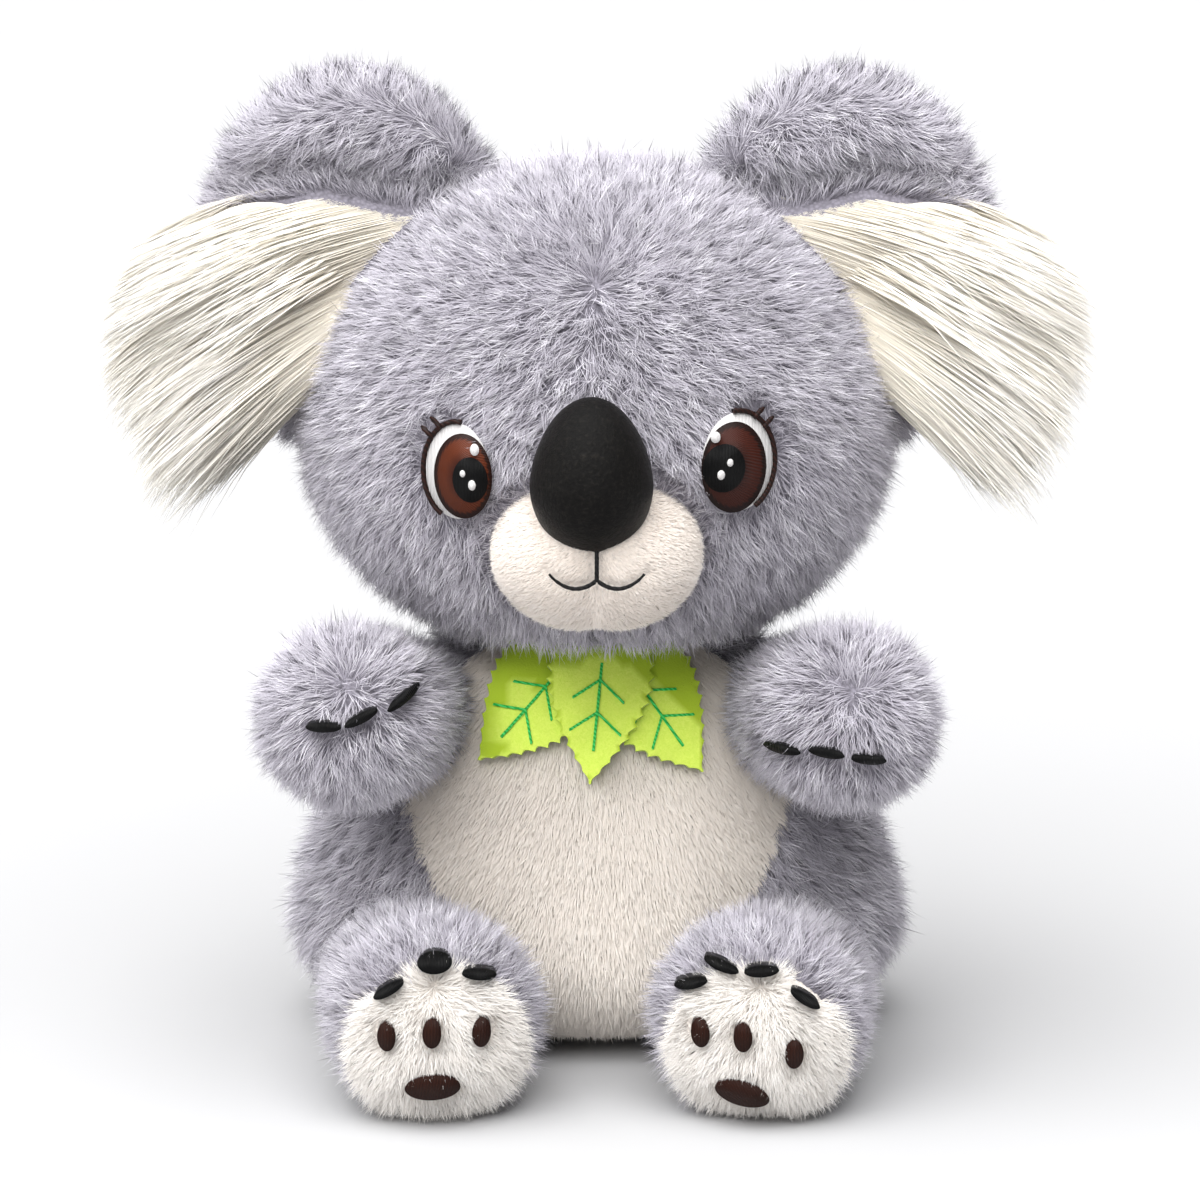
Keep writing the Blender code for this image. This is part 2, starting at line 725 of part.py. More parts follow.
def leaf_outline(which):
    """An ovate leaf cut off at its top, with pinked edges."""
    edges = []
    for side in (1, -1):
        edge = []
        for n in range(2 * LEAF_TEETH):
            share = n / (2 * LEAF_TEETH)
            swell = ((share + LEAF_BASE_SHARE) / (1 + LEAF_BASE_SHARE)) ** LEAF_SWELL_SHARE
            tooth = LEAF_TOOTH if n % 2 else 0
            across = LEAF_HALF_WIDTH * math.sin(math.pi * swell) + tooth
            edge.append(along_leaf(which, share, side * across))
        edges.append(edge)
    tip = along_leaf(which, 1, 0)
    return edges[0] + [tip] + list(reversed(edges[1]))


def vein_outline(which):
    """A midrib with two pairs of branches that lean towards the tip."""
    half = VEIN_WIDTH / 2
    edges = []
    for side in (1, -1):
        edge = [along_leaf(which, VEIN_TOP_SHARE, side * half)]
        for share in VEIN_BRANCH_SHARES:
            out = VEIN_BRANCH_LENGTH_SHARE * LEAF_LENGTH
            thick = VEIN_WIDTH / LEAF_LENGTH
            lean = share + out / LEAF_LENGTH * VEIN_LEAN_SHARE
            edge.append(along_leaf(which, share, side * half))
            edge.append(along_leaf(which, lean, side * (half + out)))
            edge.append(along_leaf(which, lean + thick, side * (half + out)))
            edge.append(along_leaf(which, share + thick * VEIN_FOOT_SHARE, side * half))
        edges.append(edge)
    tip = along_leaf(which, VEIN_END_SHARE, 0)
    return edges[0] + [tip] + list(reversed(edges[1]))


def make_leaves():
    """Two side leaves on the chest, and the middle one over them."""
    made = {}
    layer = LEAF_THICKNESS + VEIN_THICKNESS + 2 * SEAM_GAP
    for which in LEAF_TURNS:
        low = SEAM_GAP + (layer if which == "middle" else 0)
        high = low + LEAF_THICKNESS
        leaf = patch(f"leaf_{which}", leaf_outline(which), torso_form, (), low, high)
        cut(leaf, "DIFFERENCE", above(LEAF_TOP_HEIGHT))
        if which in SIDES:
            past, reach = SEAM_GAP / 2 * SIDES[which], -REACH * SIDES[which]
            low_corner = (min(past, reach), -REACH, -REACH)
            high_corner = (max(past, reach), REACH, REACH)
            cut(leaf, "DIFFERENCE", cutter_of("other_side", block, low_corner, high_corner))
        ends = (high + SEAM_GAP, high + SEAM_GAP + VEIN_THICKNESS)
        vein = patch(f"leaf_vein_{which}", vein_outline(which), torso_form, (), *ends)
        made.update({leaf: LIME, vein: VEIN_GREEN})
    return made


def joint(name, at, carrier=None):
    """An empty on a joint's axis, for the pieces that turn about it."""
    empty = bpy.data.objects.new(name, None)
    empty.location = at
    bpy.context.collection.objects.link(empty)
    if carrier:
        hang([empty], carrier)
    return empty


def hang(pieces, empty):
    """Ties pieces to a joint's empty and leaves them where they are."""
    at = Vector(empty.location)
    for piece in pieces:
        piece.parent = empty
        piece.matrix_parent_inverse = Matrix.Translation(-at)


def main():
    clear_scene()
    neck = joint("neck_joint", (0, HEAD_SET_BACK, NECK_HEIGHT))
    leaves = joint("leaves_joint", (0, LEAF_HINGE_SET_BACK, NECK_HEIGHT))
    made = {}
    for pieces, carrier in (
        (make_body(), None),
        (make_head(), neck),
        (make_muzzle(), neck),
        (make_leaves(), leaves),
    ):
        made.update(pieces)
        if carrier:
            hang(pieces, carrier)
    for side in SIDES:
        arm = joint(f"shoulder_joint_{side}", shoulder(side))
        leg = joint(f"hip_joint_{side}", hip(side))
        ear = joint(f"ear_joint_{side}", ear_hinge(side), neck)
        for pieces, carrier in (
            (make_eye(side), neck),
            (make_arm(side), arm),
            (make_paw_marks(side), arm),
            (make_leg(side), leg),
            (make_foot_marks(side), leg),
            (make_ear(side), ear),
        ):
            made.update(pieces)
            hang(pieces, carrier)
    for ob, colour in made.items():
        roughness = THREAD_ROUGHNESS if colour == BLACK else CLOTH_ROUGHNESS
        ob.data.materials.append(finish_of(ob.name, colour, roughness))


main()
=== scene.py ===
import json
import math

import bmesh
import bpy
import numpy as np
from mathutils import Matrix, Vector
from mathutils.bvhtree import BVHTree

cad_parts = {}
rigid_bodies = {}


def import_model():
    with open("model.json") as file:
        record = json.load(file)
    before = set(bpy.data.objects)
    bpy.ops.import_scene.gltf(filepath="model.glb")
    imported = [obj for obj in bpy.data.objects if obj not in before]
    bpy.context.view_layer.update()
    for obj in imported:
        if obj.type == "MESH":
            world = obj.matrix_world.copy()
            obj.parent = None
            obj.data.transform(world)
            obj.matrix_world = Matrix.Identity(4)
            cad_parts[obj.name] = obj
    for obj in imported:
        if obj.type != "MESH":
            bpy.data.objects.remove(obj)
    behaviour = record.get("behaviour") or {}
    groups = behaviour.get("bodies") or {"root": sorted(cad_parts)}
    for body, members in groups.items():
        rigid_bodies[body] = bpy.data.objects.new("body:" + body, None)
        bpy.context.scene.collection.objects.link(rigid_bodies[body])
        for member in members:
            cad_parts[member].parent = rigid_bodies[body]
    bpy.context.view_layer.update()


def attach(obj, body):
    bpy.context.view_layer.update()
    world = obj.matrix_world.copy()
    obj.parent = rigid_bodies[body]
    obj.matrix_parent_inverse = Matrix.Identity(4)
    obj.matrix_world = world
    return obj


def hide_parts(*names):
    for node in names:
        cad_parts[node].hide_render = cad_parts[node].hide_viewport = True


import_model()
dice = np.random.default_rng(41)
sides = {"left": -1, "right": 1}
print("frame loaded")


# small tools
def linked(name, data):
    ob = bpy.data.objects.new(name, data)
    bpy.context.collection.objects.link(ob)
    return ob


def meshOf(name, bm):
    mesh = bpy.data.meshes.new(name)
    bm.to_mesh(mesh)
    bm.free()
    return mesh


def settled(ob):
    # the mesh that an object has once its modifiers or its curve are worked out
    bpy.context.view_layer.update()
    mesh = bpy.data.meshes.new_from_object(ob.evaluated_get(bpy.context.evaluated_depsgraph_get()))
    bpy.data.objects.remove(ob)
    return mesh


def toLinear(hexColour):
    shades = [int(hexColour[n : n + 2], 16) / 255 for n in (1, 3, 5)]
    return [s / 12.92 if s <= 0.04045 else ((s + 0.055) / 1.055) ** 2.4 for s in shades] + [1.0]


def addNode(tree, kind, inputs=None, stops=(), **settings):
    node = tree.nodes.new(kind)
    for name, value in settings.items():
        setattr(node, name, value)
    for socket, value in (inputs or {}).items():
        if isinstance(value, bpy.types.NodeSocket):
            tree.links.new(value, node.inputs[socket])
        else:
            node.inputs[socket].default_value = value
    if stops:  # the colours of a ramp
        colours = node.color_ramp.elements
        while len(colours) < len(stops):
            colours.new(0.5)
        for element, (at, colour) in zip(colours, stops):
            element.position = at
            element.color = toLinear(colour)
    return node


# camera, at the photograph's angle
camera = {"elevation": 12.0, "distance": 1.345, "lens": 134.5, "target": (0.0009, 0.0, 0.1377)}


def placeCamera():
    lift = math.radians(camera["elevation"])
    target = Vector(camera["target"])
    data = bpy.data.cameras.new("photoCamera")
    data.lens = camera["lens"]
    data.sensor_width = 36
    data.clip_end = 20
    ob = linked("photoCamera", data)
    ob.location = target + camera["distance"] * Vector((0, -math.cos(lift), math.sin(lift)))
    ob.rotation_euler = (target - ob.location).to_track_quat("-Z", "Y").to_euler()
    bpy.context.scene.camera = ob


# materials
def newMaterial(name, roughness, sheen, specular):
    material = bpy.data.materials.new(name)
    material.use_nodes = True
    shader = material.node_tree.nodes["Principled BSDF"]
    shader.inputs["Roughness"].default_value = roughness
    shader.inputs["Specular IOR Level"].default_value = specular
    shader.inputs["Sheen Weight"].default_value = sheen
    shader.inputs["Sheen Roughness"].default_value = 0.45
    return material, material.node_tree, shader


def tinted(tree, colour, fac, low, high):
    # darkens and lightens a colour by a pattern
    share = addNode(tree, "ShaderNodeMapRange", {0: fac, 1: 0.25, 2: 0.75, 3: low, 4: high})
    hue = addNode(tree, "ShaderNodeHueSaturation", {"Value": share.outputs[0], "Color": colour})
    return hue.outputs["Color"]


def pileMaterial(name, root, middle, tip, guard, guardShare, uneven=1.0):
    # polyester plush pile: fine fibres, paler and a little shiny at the tips; the darker colour at their roots
    # is partly their own and partly painted shade between them
    material, tree, shader = newMaterial(name, 0.62, 0.35, 0.35)
    place = addNode(tree, "ShaderNodeTexCoord").outputs["Object"]
    strand = addNode(tree, "ShaderNodeUVMap", uv_map="pile").outputs[0]
    rise = addNode(tree, "ShaderNodeSeparateXYZ", {0: strand}).outputs[1]
    lot = addNode(tree, "ShaderNodeAttribute", attribute_name="lot").outputs["Fac"]
    # the root colour is partly painted shade deep in the pile
    body = addNode(tree, "ShaderNodeValToRGB", {0: rise}, [(0.0, root), (0.42, middle), (1.0, tip)])
    pale = addNode(tree, "ShaderNodeValToRGB", {0: rise}, [(0.0, root), (0.35, middle), (0.8, guard)])
    pick = addNode(tree, "ShaderNodeMapRange", {0: lot, 1: 1 - guardShare, 2: 1 - guardShare * 0.5})
    mixed = addNode(
        tree, "ShaderNodeMix", {0: pick.outputs[0], 6: body.outputs[0], 7: pale.outputs[0]}, data_type="RGBA"
    )
    clouds = addNode(tree, "ShaderNodeTexNoise", {"Vector": place, "Scale": 1 / 0.012, "Detail": 3.0})
    toned = tinted(tree, mixed.outputs[2], clouds.outputs[0], 1 - 0.12 * uneven, 1 + 0.10 * uneven)
    each = addNode(tree, "ShaderNodeMath", {0: lot, 1: 37.0}, operation="MULTIPLY")
    each = addNode(tree, "ShaderNodeMath", {0: each.outputs[0]}, operation="FRACT")
    toned = tinted(tree, toned, each.outputs[0], 1 - 0.10 * uneven, 1 + 0.08 * uneven)
    tree.links.new(toned, shader.inputs["Base Color"])
    return material


def backingMaterial(name, colour):
    # knitted backing cloth that the pile stands on, 1.2 mm loops, seen only where the pile parts
    material, tree, shader = newMaterial(name, 0.9, 0.2, 0.2)
    place = addNode(tree, "ShaderNodeTexCoord").outputs["Object"]
    loops = addNode(tree, "ShaderNodeTexVoronoi", {"Vector": place, "Scale": 1 / 0.0012}).outputs["Distance"]
    tone = tinted(tree, toLinear(colour), loops, 1.08, 0.72)
    bump = addNode(tree, "ShaderNodeBump", {"Height": loops, "Distance": 0.0004, "Strength": 0.6})
    tree.links.new(tone, shader.inputs["Base Color"])
    tree.links.new(bump.outputs[0], shader.inputs["Normal"])
    return material


def suedeMaterial(name):
    # black microfibre suede: a short nap drawn 1.1 mm coarse so that it shows, with a faint bloom
    material, tree, shader = newMaterial(name, 0.45, 0.02, 0.1)
    shader.inputs["Sheen Tint"].default_value = toLinear("#B9AFA8")
    shader.inputs["Sheen Roughness"].default_value = 0.38
    place = addNode(tree, "ShaderNodeTexCoord").outputs["Object"]
    nap = addNode(
        tree, "ShaderNodeTexNoise", {"Vector": place, "Scale": 1 / 0.0011, "Detail": 6.0, "Roughness": 0.7}
    )
    stroked = addNode(tree, "ShaderNodeMapping", {"Vector": place, "Scale": (1, 1, 0.35)})
    stroke = addNode(
        tree, "ShaderNodeTexNoise", {"Vector": stroked.outputs[0], "Scale": 1 / 0.004, "Detail": 4.0}
    )
    blacks = [(0.3, "#050404"), (0.52, "#0C0B0A"), (0.72, "#221F1C")]
    colour = addNode(tree, "ShaderNodeValToRGB", {0: nap.outputs[0]}, blacks)
    colour = tinted(tree, colour.outputs[0], stroke.outputs[0], 0.75, 1.25)
    bump = addNode(tree, "ShaderNodeBump", {"Height": nap.outputs[0], "Distance": 0.0006, "Strength": 0.8})
    tree.links.new(colour, shader.inputs["Base Color"])
    tree.links.new(bump.outputs[0], shader.inputs["Normal"])
    return material


def satinMaterial(name, colour, pale, gloss=0.42):
    # rayon embroidery in satin stitch: shiny threads side by side, drawn 0.42 mm apart so that they show, each
    # paler along its crown as a painted sheen and darker in the groove beside it as painted shade
    material, tree, shader = newMaterial(name, gloss, 0.0, 0.14)
    stitch = addNode(tree, "ShaderNodeUVMap", uv_map="stitch").outputs[0]
    wobble = addNode(tree, "ShaderNodeTexNoise", {"Vector": stitch, "Scale": 900.0, "Detail": 2.0})
    parts = addNode(tree, "ShaderNodeSeparateXYZ", {0: stitch})
    shift = addNode(
        tree, "ShaderNodeMath", {0: wobble.outputs[0], 1: 0.0003, 2: parts.outputs[0]}, operation="MULTIPLY_ADD"
    )
    pitch = 2 * math.pi / 0.00042
    turns = addNode(tree, "ShaderNodeMath", {0: shift.outputs[0], 1: pitch}, operation="MULTIPLY")
    wave = addNode(tree, "ShaderNodeMath", {0: turns.outputs[0]}, operation="SINE")
    ridgeAndSheen = addNode(tree, "ShaderNodeMapRange", {0: wave.outputs[0], 1: -1.0, 2: 1.0})
    # the colour follows the threads' relief: painted sheen on the crowns, painted shade in the grooves
    shade = addNode(tree, "ShaderNodeValToRGB", {0: ridgeAndSheen.outputs[0]}, [(0.0, colour), (1.0, pale)])
    bump = addNode(tree, "ShaderNodeBump", {"Height": ridgeAndSheen.outputs[0], "Distance": 0.00018, "Strength": 0.8})
    tree.links.new(shade.outputs[0], shader.inputs["Base Color"])
    tree.links.new(bump.outputs[0], shader.inputs["Normal"])
    return material


def irisMaterial(name, rim, ring, bright):
    # brown rayon in radial satin stitch: 84 threads, which turn at the rim in 34 small darker scallops; each
    # thread is lighter on its crown as a painted sheen and darker in its groove as painted shade
    material, tree, shader = newMaterial(name, 0.5, 0.0, 0.25)
    place = addNode(tree, "ShaderNodeUVMap", uv_map="round").outputs[0]
    parts = addNode(tree, "ShaderNodeSeparateXYZ", {0: place})
    angle, radius = parts.outputs[0], parts.outputs[1]
    scallop = addNode(tree, "ShaderNodeMath", {0: angle, 1: 2 * math.pi * 34}, operation="MULTIPLY")
    scallop = addNode(tree, "ShaderNodeMath", {0: scallop.outputs[0]}, operation="SINE")
    worn = addNode(
        tree, "ShaderNodeMath", {0: scallop.outputs[0], 1: 0.022, 2: radius}, operation="MULTIPLY_ADD"
    )
    browns = [(0.35, ring), (0.62, bright), (0.84, bright), (0.90, rim)]
    base = addNode(tree, "ShaderNodeValToRGB", {0: worn.outputs[0]}, browns)
    threads = addNode(tree, "ShaderNodeMath", {0: angle, 1: 2 * math.pi * 84}, operation="MULTIPLY")
    threads = addNode(tree, "ShaderNodeMath", {0: threads.outputs[0]}, operation="SINE")
    ridgeAndSheen = addNode(tree, "ShaderNodeMapRange", {0: threads.outputs[0], 1: -1.0, 2: 1.0})
    # painted sheen on the thread crowns and painted shade in the grooves between them
    shade = tinted(tree, base.outputs[0], ridgeAndSheen.outputs[0], 0.82, 1.14)
    bump = addNode(tree, "ShaderNodeBump", {"Height": ridgeAndSheen.outputs[0], "Distance": 0.00016, "Strength": 0.7})
    tree.links.new(shade, shader.inputs["Base Color"])
    tree.links.new(bump.outputs[0], shader.inputs["Normal"])
    return material


def threadMaterial(name, colour, pale):
    # twisted rayon thread, a twist every 0.9 mm, paler on each ply's crown as a painted sheen and darker in the
    # twist's grooves as painted shade
    material, tree, shader = newMaterial(name, 0.55, 0.0, 0.2)
    place = addNode(tree, "ShaderNodeTexCoord").outputs["Object"]
    twist = addNode(
        tree, "ShaderNodeTexWave", {"Vector": place, "Scale": 0.31 / 0.0009, "Distortion": 3.0, "Detail": 1.0},
        bands_direction="DIAGONAL",
    ).outputs["Fac"]
    # painted sheen on the plies' crowns, painted shade in the twist's grooves
    shade = addNode(tree, "ShaderNodeValToRGB", {0: twist}, [(0.15, colour), (0.9, pale)])
    bump = addNode(tree, "ShaderNodeBump", {"Height": twist, "Distance": 0.0002, "Strength": 0.7})
    tree.links.new(shade.outputs[0], shader.inputs["Base Color"])
    tree.links.new(bump.outputs[0], shader.inputs["Normal"])
    return material


def feltMaterial(name):
    # pressed wool-mix felt, lime green: matted fibres without a weave; its cut edge and bevel get a darker
    # green as painted shade
    material, tree, shader = newMaterial(name, 0.88, 0.35, 0.25)
    place = addNode(tree, "ShaderNodeTexCoord").outputs["Object"]
    fibres = addNode(
        tree, "ShaderNodeTexNoise", {"Vector": place, "Scale": 1 / 0.0009, "Detail": 6.0, "Distortion": 1.2}
    )
    clouds = addNode(tree, "ShaderNodeTexNoise", {"Vector": place, "Scale": 1 / 0.012, "Detail": 2.0})
    edge = addNode(tree, "ShaderNodeAttribute", attribute_name="edgeShade").outputs["Fac"]
    limes = [(0.3, "#C9E452"), (0.55, "#D3EA5F"), (0.8, "#DDF06C")]
    colour = addNode(tree, "ShaderNodeValToRGB", {0: fibres.outputs[0]}, limes)
    colour = tinted(tree, colour.outputs[0], clouds.outputs[0], 0.93, 1.05)
    # the edge turns darker green: painted shade that outlines each leaf
    mixed = addNode(tree, "ShaderNodeMix", {0: edge, 6: colour, 7: toLinear("#A9C42E")}, data_type="RGBA")
    bump = addNode(tree, "ShaderNodeBump", {"Height": fibres.outputs[0], "Distance": 0.0003, "Strength": 0.55})
    tree.links.new(mixed.outputs[2], shader.inputs["Base Color"])
    tree.links.new(bump.outputs[0], shader.inputs["Normal"])
    return material


def floorMaterial():
    # matt white studio paper
    material, tree, shader = newMaterial("studioPaper", 0.9, 0.0, 0.1)
    shader.inputs["Base Color"].default_value = toLinear("#B9B9BA")
    return material


# each pile runs from its root colour to its tip colour; the darker roots are partly painted shade between the
# fibres
looks = {
    "grey": pileMaterial("greyPlushPile", "#7B7781", "#ADA9B3", "#CBC7D0", "#F1EFF4", 0.30),
    "white": pileMaterial("whitePlushPile", "#E6DDD3", "#EAE2D9", "#EDE6DD", "#F2EDE6", 0.2, 0.3),
    "sole": pileMaterial("whiteSolePile", "#E8E2DB", "#F1ECE6", "#F5F1EC", "#FCFAF7", 0.3, 0.4),
    "velour": pileMaterial("whiteVelour", "#E8DDD3", "#F0E7DE", "#F5EEE7", "#FBF7F2", 0.2, 0.3),
    "tuft": pileMaterial("creamLongPile", "#F7F0E2", "#FAF5EA", "#FCF9F3", "#FEFCF9", 0.25, 0.25),
    # the grey backing is coloured as the pile's shadowed depths: painted shade, seen where the pile parts
    "shadowGreyBacking": backingMaterial("shadowGreyBacking", "#8B8791"),
    "whiteBacking": backingMaterial("whiteBacking", "#EAE2DA"),
    "velourBacking": backingMaterial("velourBacking", "#F3EBE3"),
    "creamBacking": backingMaterial("creamBacking", "#F6EEDF"),
    "suede": suedeMaterial("blackSuede"),
    "blackThread": threadMaterial("blackThread", "#060606", "#19191A"),
    "blackSatin": satinMaterial("blackSatinStitch", "#030303", "#0D0D0E", gloss=0.45),
    "brownSatin": satinMaterial("darkBrownSatinStitch", "#190A07", "#341A11", gloss=0.4),
    "whiteSatin": satinMaterial("whiteSatinStitch", "#D5D2D1", "#F6F4F3"),
    "outlineThread": threadMaterial("darkBrownThread", "#130704", "#29100A"),
    "greenThread": threadMaterial("greenThread", "#1FA542", "#4ED06A"),
    "felt": feltMaterial("limeFelt"),
}
print("materials made")


# forms, placed as the CAD solids are, the limbs fitted to the photograph
headForm = {
    "centre": (0, 0.010, 0.187), "halfWidth": 0.091, "front": 0.074, "back": 0.072, "up": 0.086, "down": 0.071,
}
torsoForm = {
    "centre": (0, 0.028, 0.034), "halfWidth": 0.095, "front": 0.064, "back": 0.064, "up": 0.113, "down": 0.0345,
    "taper": 0.20, "lean": 0.09, "fullness": 0.55,
}
noseForm = {
    "centre": (-0.0015, -0.073, 0.1865), "halfWidth": 0.0175, "front": 0.018, "back": 0.018, "up": 0.027,
    "down": 0.0175, "taper": 0.10,
}
neck = 0.130


def lobeForm(side):
    centre = (sides[side] * 0.0055, -0.057, 0.164)
    return {"centre": centre, "halfWidth": 0.0255, "front": 0.027, "back": 0.027, "up": 0.024, "down": 0.023}


def earForm(side):
    centre = (sides[side] * 0.072, 0.012, 0.238)
    return {"centre": centre, "halfWidth": 0.050, "front": 0.021, "back": 0.021, "up": 0.061, "down": 0.061}


def tuftForm(side):
    centre = (sides[side] * 0.098, 0.0, 0.226)
    return {"centre": centre, "halfWidth": 0.043, "front": 0.021, "back": 0.021, "up": 0.044, "down": 0.044}


def armForm(side):
    s = sides[side]
    return {"root": (s * 0.059, -0.003, 0.104), "tip": (s * 0.0730, -0.043, 0.1122), "rootRadius": 0.023,
            "tipRadius": 0.0283, "end": 0.027, "flat": 1.0}


def legForm(side):
    s = sides[side]
    return {"root": (s * 0.0540, -0.036, 0.0275), "tip": (s * 0.047, -0.063, 0.0285), "rootRadius": 0.0300,
            "tipRadius": 0.0335, "end": 0.029, "flat": 0.91, "sag": 0.6}


def shapedBall(form, grow=0.0, fine=6):
    # a ball drawn out to an egg, or to a stub with a round root and a round end
    bm = bmesh.new()
    bmesh.ops.create_icosphere(bm, subdivisions=fine, radius=1.0)
    if "root" in form:
        root, tip = Vector(form["root"]), Vector(form["tip"])
        turn = (tip - root).to_track_quat("Z", "Y").to_matrix()
        small, big, end = form["rootRadius"] + grow, form["tipRadius"] + grow, form["end"] + grow
        for v in bm.verts:
            x, y, z = v.co
            if "sag" in form and y < 0:  # the underside is full, as the piece sits on it
                around = math.hypot(x, z)
                full = around ** form["sag"] / max(around, 1e-6)
                x, z = x * full, z * full
            if z < 0:
                v.co = root + turn @ Vector((x, y, z)) * small
            else:
                v.co = tip + turn @ Vector((x * big, y * big, z * end))
            v.co.z = root.z + (v.co.z - root.z) * form["flat"]
        return bm
    taper, lean, fullness = form.get("taper", 0), form.get("lean", 0), form.get("fullness", 1)
    for v in bm.verts:
        x, y, z = v.co
        around = math.hypot(x, y)
        ring = around * (1 - taper * z) if z > 0 else around**fullness
        if around > 0:
            x, y = x / around * ring, y / around * ring
        height = z * (form["up" if z > 0 else "down"] + grow)
        deep = y * (form["front" if y < 0 else "back"] + grow) - (lean * height if z > 0 else 0)
        v.co = Vector((x * (form["halfWidth"] + grow), deep, height)) + Vector(form["centre"])
    return bm


def depthIn(form, points, grow=0.0):
    # about how far inside a form each point lies, negative outside
    if "root" in form:
        root, spine = np.array(form["root"]), np.array(form["tip"]) - np.array(form["root"])
        share = np.clip((points - root) @ spine / (spine @ spine), 0, 1)
        away = points - root - share[:, None] * spine
        away[:, 2] /= form["flat"]
        radius = form["rootRadius"] + (form["tipRadius"] - form["rootRadius"]) * share + grow
        return radius - np.linalg.norm(away, axis=1)
    place = points - np.array(form["centre"])
    x, y, z = place.T
    above = z > 0
    height = z / (np.where(above, form["up"], form["down"]) + grow)
    halfDepth = np.where(y < 0, form["front"], form["back"]) + grow
    deep = (y + np.where(above, form.get("lean", 0) * z, 0)) / halfDepth
    ring = np.hypot(x / (form["halfWidth"] + grow), deep)
    narrowed = ring / (1 - form.get("taper", 0) * np.clip(height, 0, 1))
    size = np.hypot(np.where(above, narrowed, ring ** (1 / form.get("fullness", 1))), height)
    return (1 / np.maximum(size, 1e-6) - 1) * np.linalg.norm(place, axis=1)


def finishPiece(name, bm, body, material, replaced=()):
    return meshPiece(name, meshOf(name, bm), body, material, replaced)


def meshPiece(name, mesh, body, material, replaced=()):
    mesh.materials.clear()
    mesh.materials.append(material)
    mesh.shade_smooth()
    ob = linked(name, mesh)
    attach(ob, body)
    if replaced:
        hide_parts(*replaced)
    return ob


def allOf(bm):
    return bm.verts[:] + bm.edges[:] + bm.faces[:]


def cutFlat(bm, height, above=True):
    # cuts a form level at a height and closes the cut
    up = (0, 0, 1 if above else -1)
    cut = bmesh.ops.bisect_plane(bm, geom=allOf(bm), plane_co=(0, 0, height), plane_no=up, clear_outer=True)
    rim = [e for e in cut["geom_cut"] if isinstance(e, bmesh.types.BMEdge)]
    if rim:
        bmesh.ops.holes_fill(bm, edges=rim, sides=0)


def applied(name, bm, modifiers):
    # the mesh of a form with modifiers worked out on it
    ob = linked(name, meshOf(name, bm))
    for kind, settings in modifiers:
        modifier = ob.modifiers.new(kind, kind)
        for key, value in settings.items():
            setattr(modifier, key, value)
    return settled(ob)


def carvedBy(name, bm, forms, grow):
    # hollows a form where other forms press into it
    tools = [linked(f"tool{n}", meshOf("tool", shapedBall(form, grow, 4))) for n, form in enumerate(forms)]
    steps = [("BOOLEAN", {"solver": "EXACT", "operation": "DIFFERENCE", "object": tool}) for tool in tools]
    mesh = applied(name, bm, steps)
    for tool in tools:
        bpy.data.objects.remove(tool)
    return mesh


# pile: strands instanced on roots that numpy scatters over a form
def strandShapes(label, rows, bends):
    # flat ribbons one metre long that narrow to a point and bend over
    shapes = bpy.data.collections.new(label)
    for n, bend in enumerate(bends):
        bm = bmesh.new()
        bmesh.ops.create_grid(bm, x_segments=1, y_segments=rows, size=0.5)
        uvs = bm.loops.layers.uv.new("pile")
        for face in bm.faces:
            for loop in face.loops:
                loop[uvs].uv = (loop.vert.co.x + 0.5, loop.vert.co.y + 0.5)
        for v in bm.verts:
            t = v.co.y + 0.5
            width = (1 - t) ** 0.6 * (0.75 + 0.5 * t)
            v.co = Vector((v.co.x * width, -bend * t * t, t * (1 - 0.25 * bend * t)))
        bmesh.ops.remove_doubles(bm, verts=bm.verts, dist=1e-5)
        if sum(f.normal.y for f in bm.faces) < 0:
            bmesh.ops.reverse_faces(bm, faces=bm.faces)
        shapes.objects.link(bpy.data.objects.new(f"{label}{n}", meshOf(f"{label}{n}", bm)))
    return shapes


def pileNodes(shapes):
    tree = bpy.data.node_groups.new("strandsOnRoots", "GeometryNodeTree")
    for way in ("INPUT", "OUTPUT"):
        tree.interface.new_socket("Geometry", in_out=way, socket_type="NodeSocketGeometry")

    def stored(name, kind="FLOAT_VECTOR"):
        return addNode(tree, "GeometryNodeInputNamedAttribute", {"Name": name}, data_type=kind).outputs[0]

    roots = addNode(tree, "NodeGroupInput").outputs[0]
    turn = addNode(
        tree, "FunctionNodeAxesToRotation", {0: stored("strandAim"), 1: stored("strandUp")},
        primary_axis="Z", secondary_axis="Y",
    )
    strands = addNode(
        tree, "GeometryNodeCollectionInfo", {0: shapes, "Separate Children": True, "Reset Children": True}
    )
    spread = addNode(tree, "GeometryNodeInstanceOnPoints", {
        "Points": roots, "Instance": strands.outputs[0], "Pick Instance": True,
        "Instance Index": stored("strandKind", "INT"), "Rotation": turn.outputs[0],
        "Scale": stored("strandSize"),
    })
    real = addNode(tree, "GeometryNodeRealizeInstances", {"Geometry": spread.outputs[0]})
    addNode(tree, "NodeGroupOutput", {0: real.outputs[0]})
    return tree


strandKinds = {
    "short": strandShapes("shortStrand", 2, [0.15, 0.3, 0.4]),
    "long": strandShapes("longStrand", 3, [0.12, 0.18, 0.24, 0.32]),
}
pileTrees = {kind: pileNodes(shapes) for kind, shapes in strandKinds.items()}
bakeCells = 128  # the bake's picture has this many cells across and up, and each strand lies in one of them


def unit(vectors):
    return vectors / np.maximum(np.linalg.norm(vectors, axis=1, keepdims=True), 1e-9)


def dot(a, b):
    return (a * b).sum(1, keepdims=True)


def along(vectors, normals):
    # the part of each vector that lies in the surface, one metre long
    return unit(vectors - dot(vectors, normals) * normals)


def readOut(source, field, wide, kind=np.float64):
    # one field of all items as an array
    values = np.empty(len(source) * wide, kind)
    source.foreach_get(field, values)
    return values.reshape(-1, wide) if wide > 1 else values


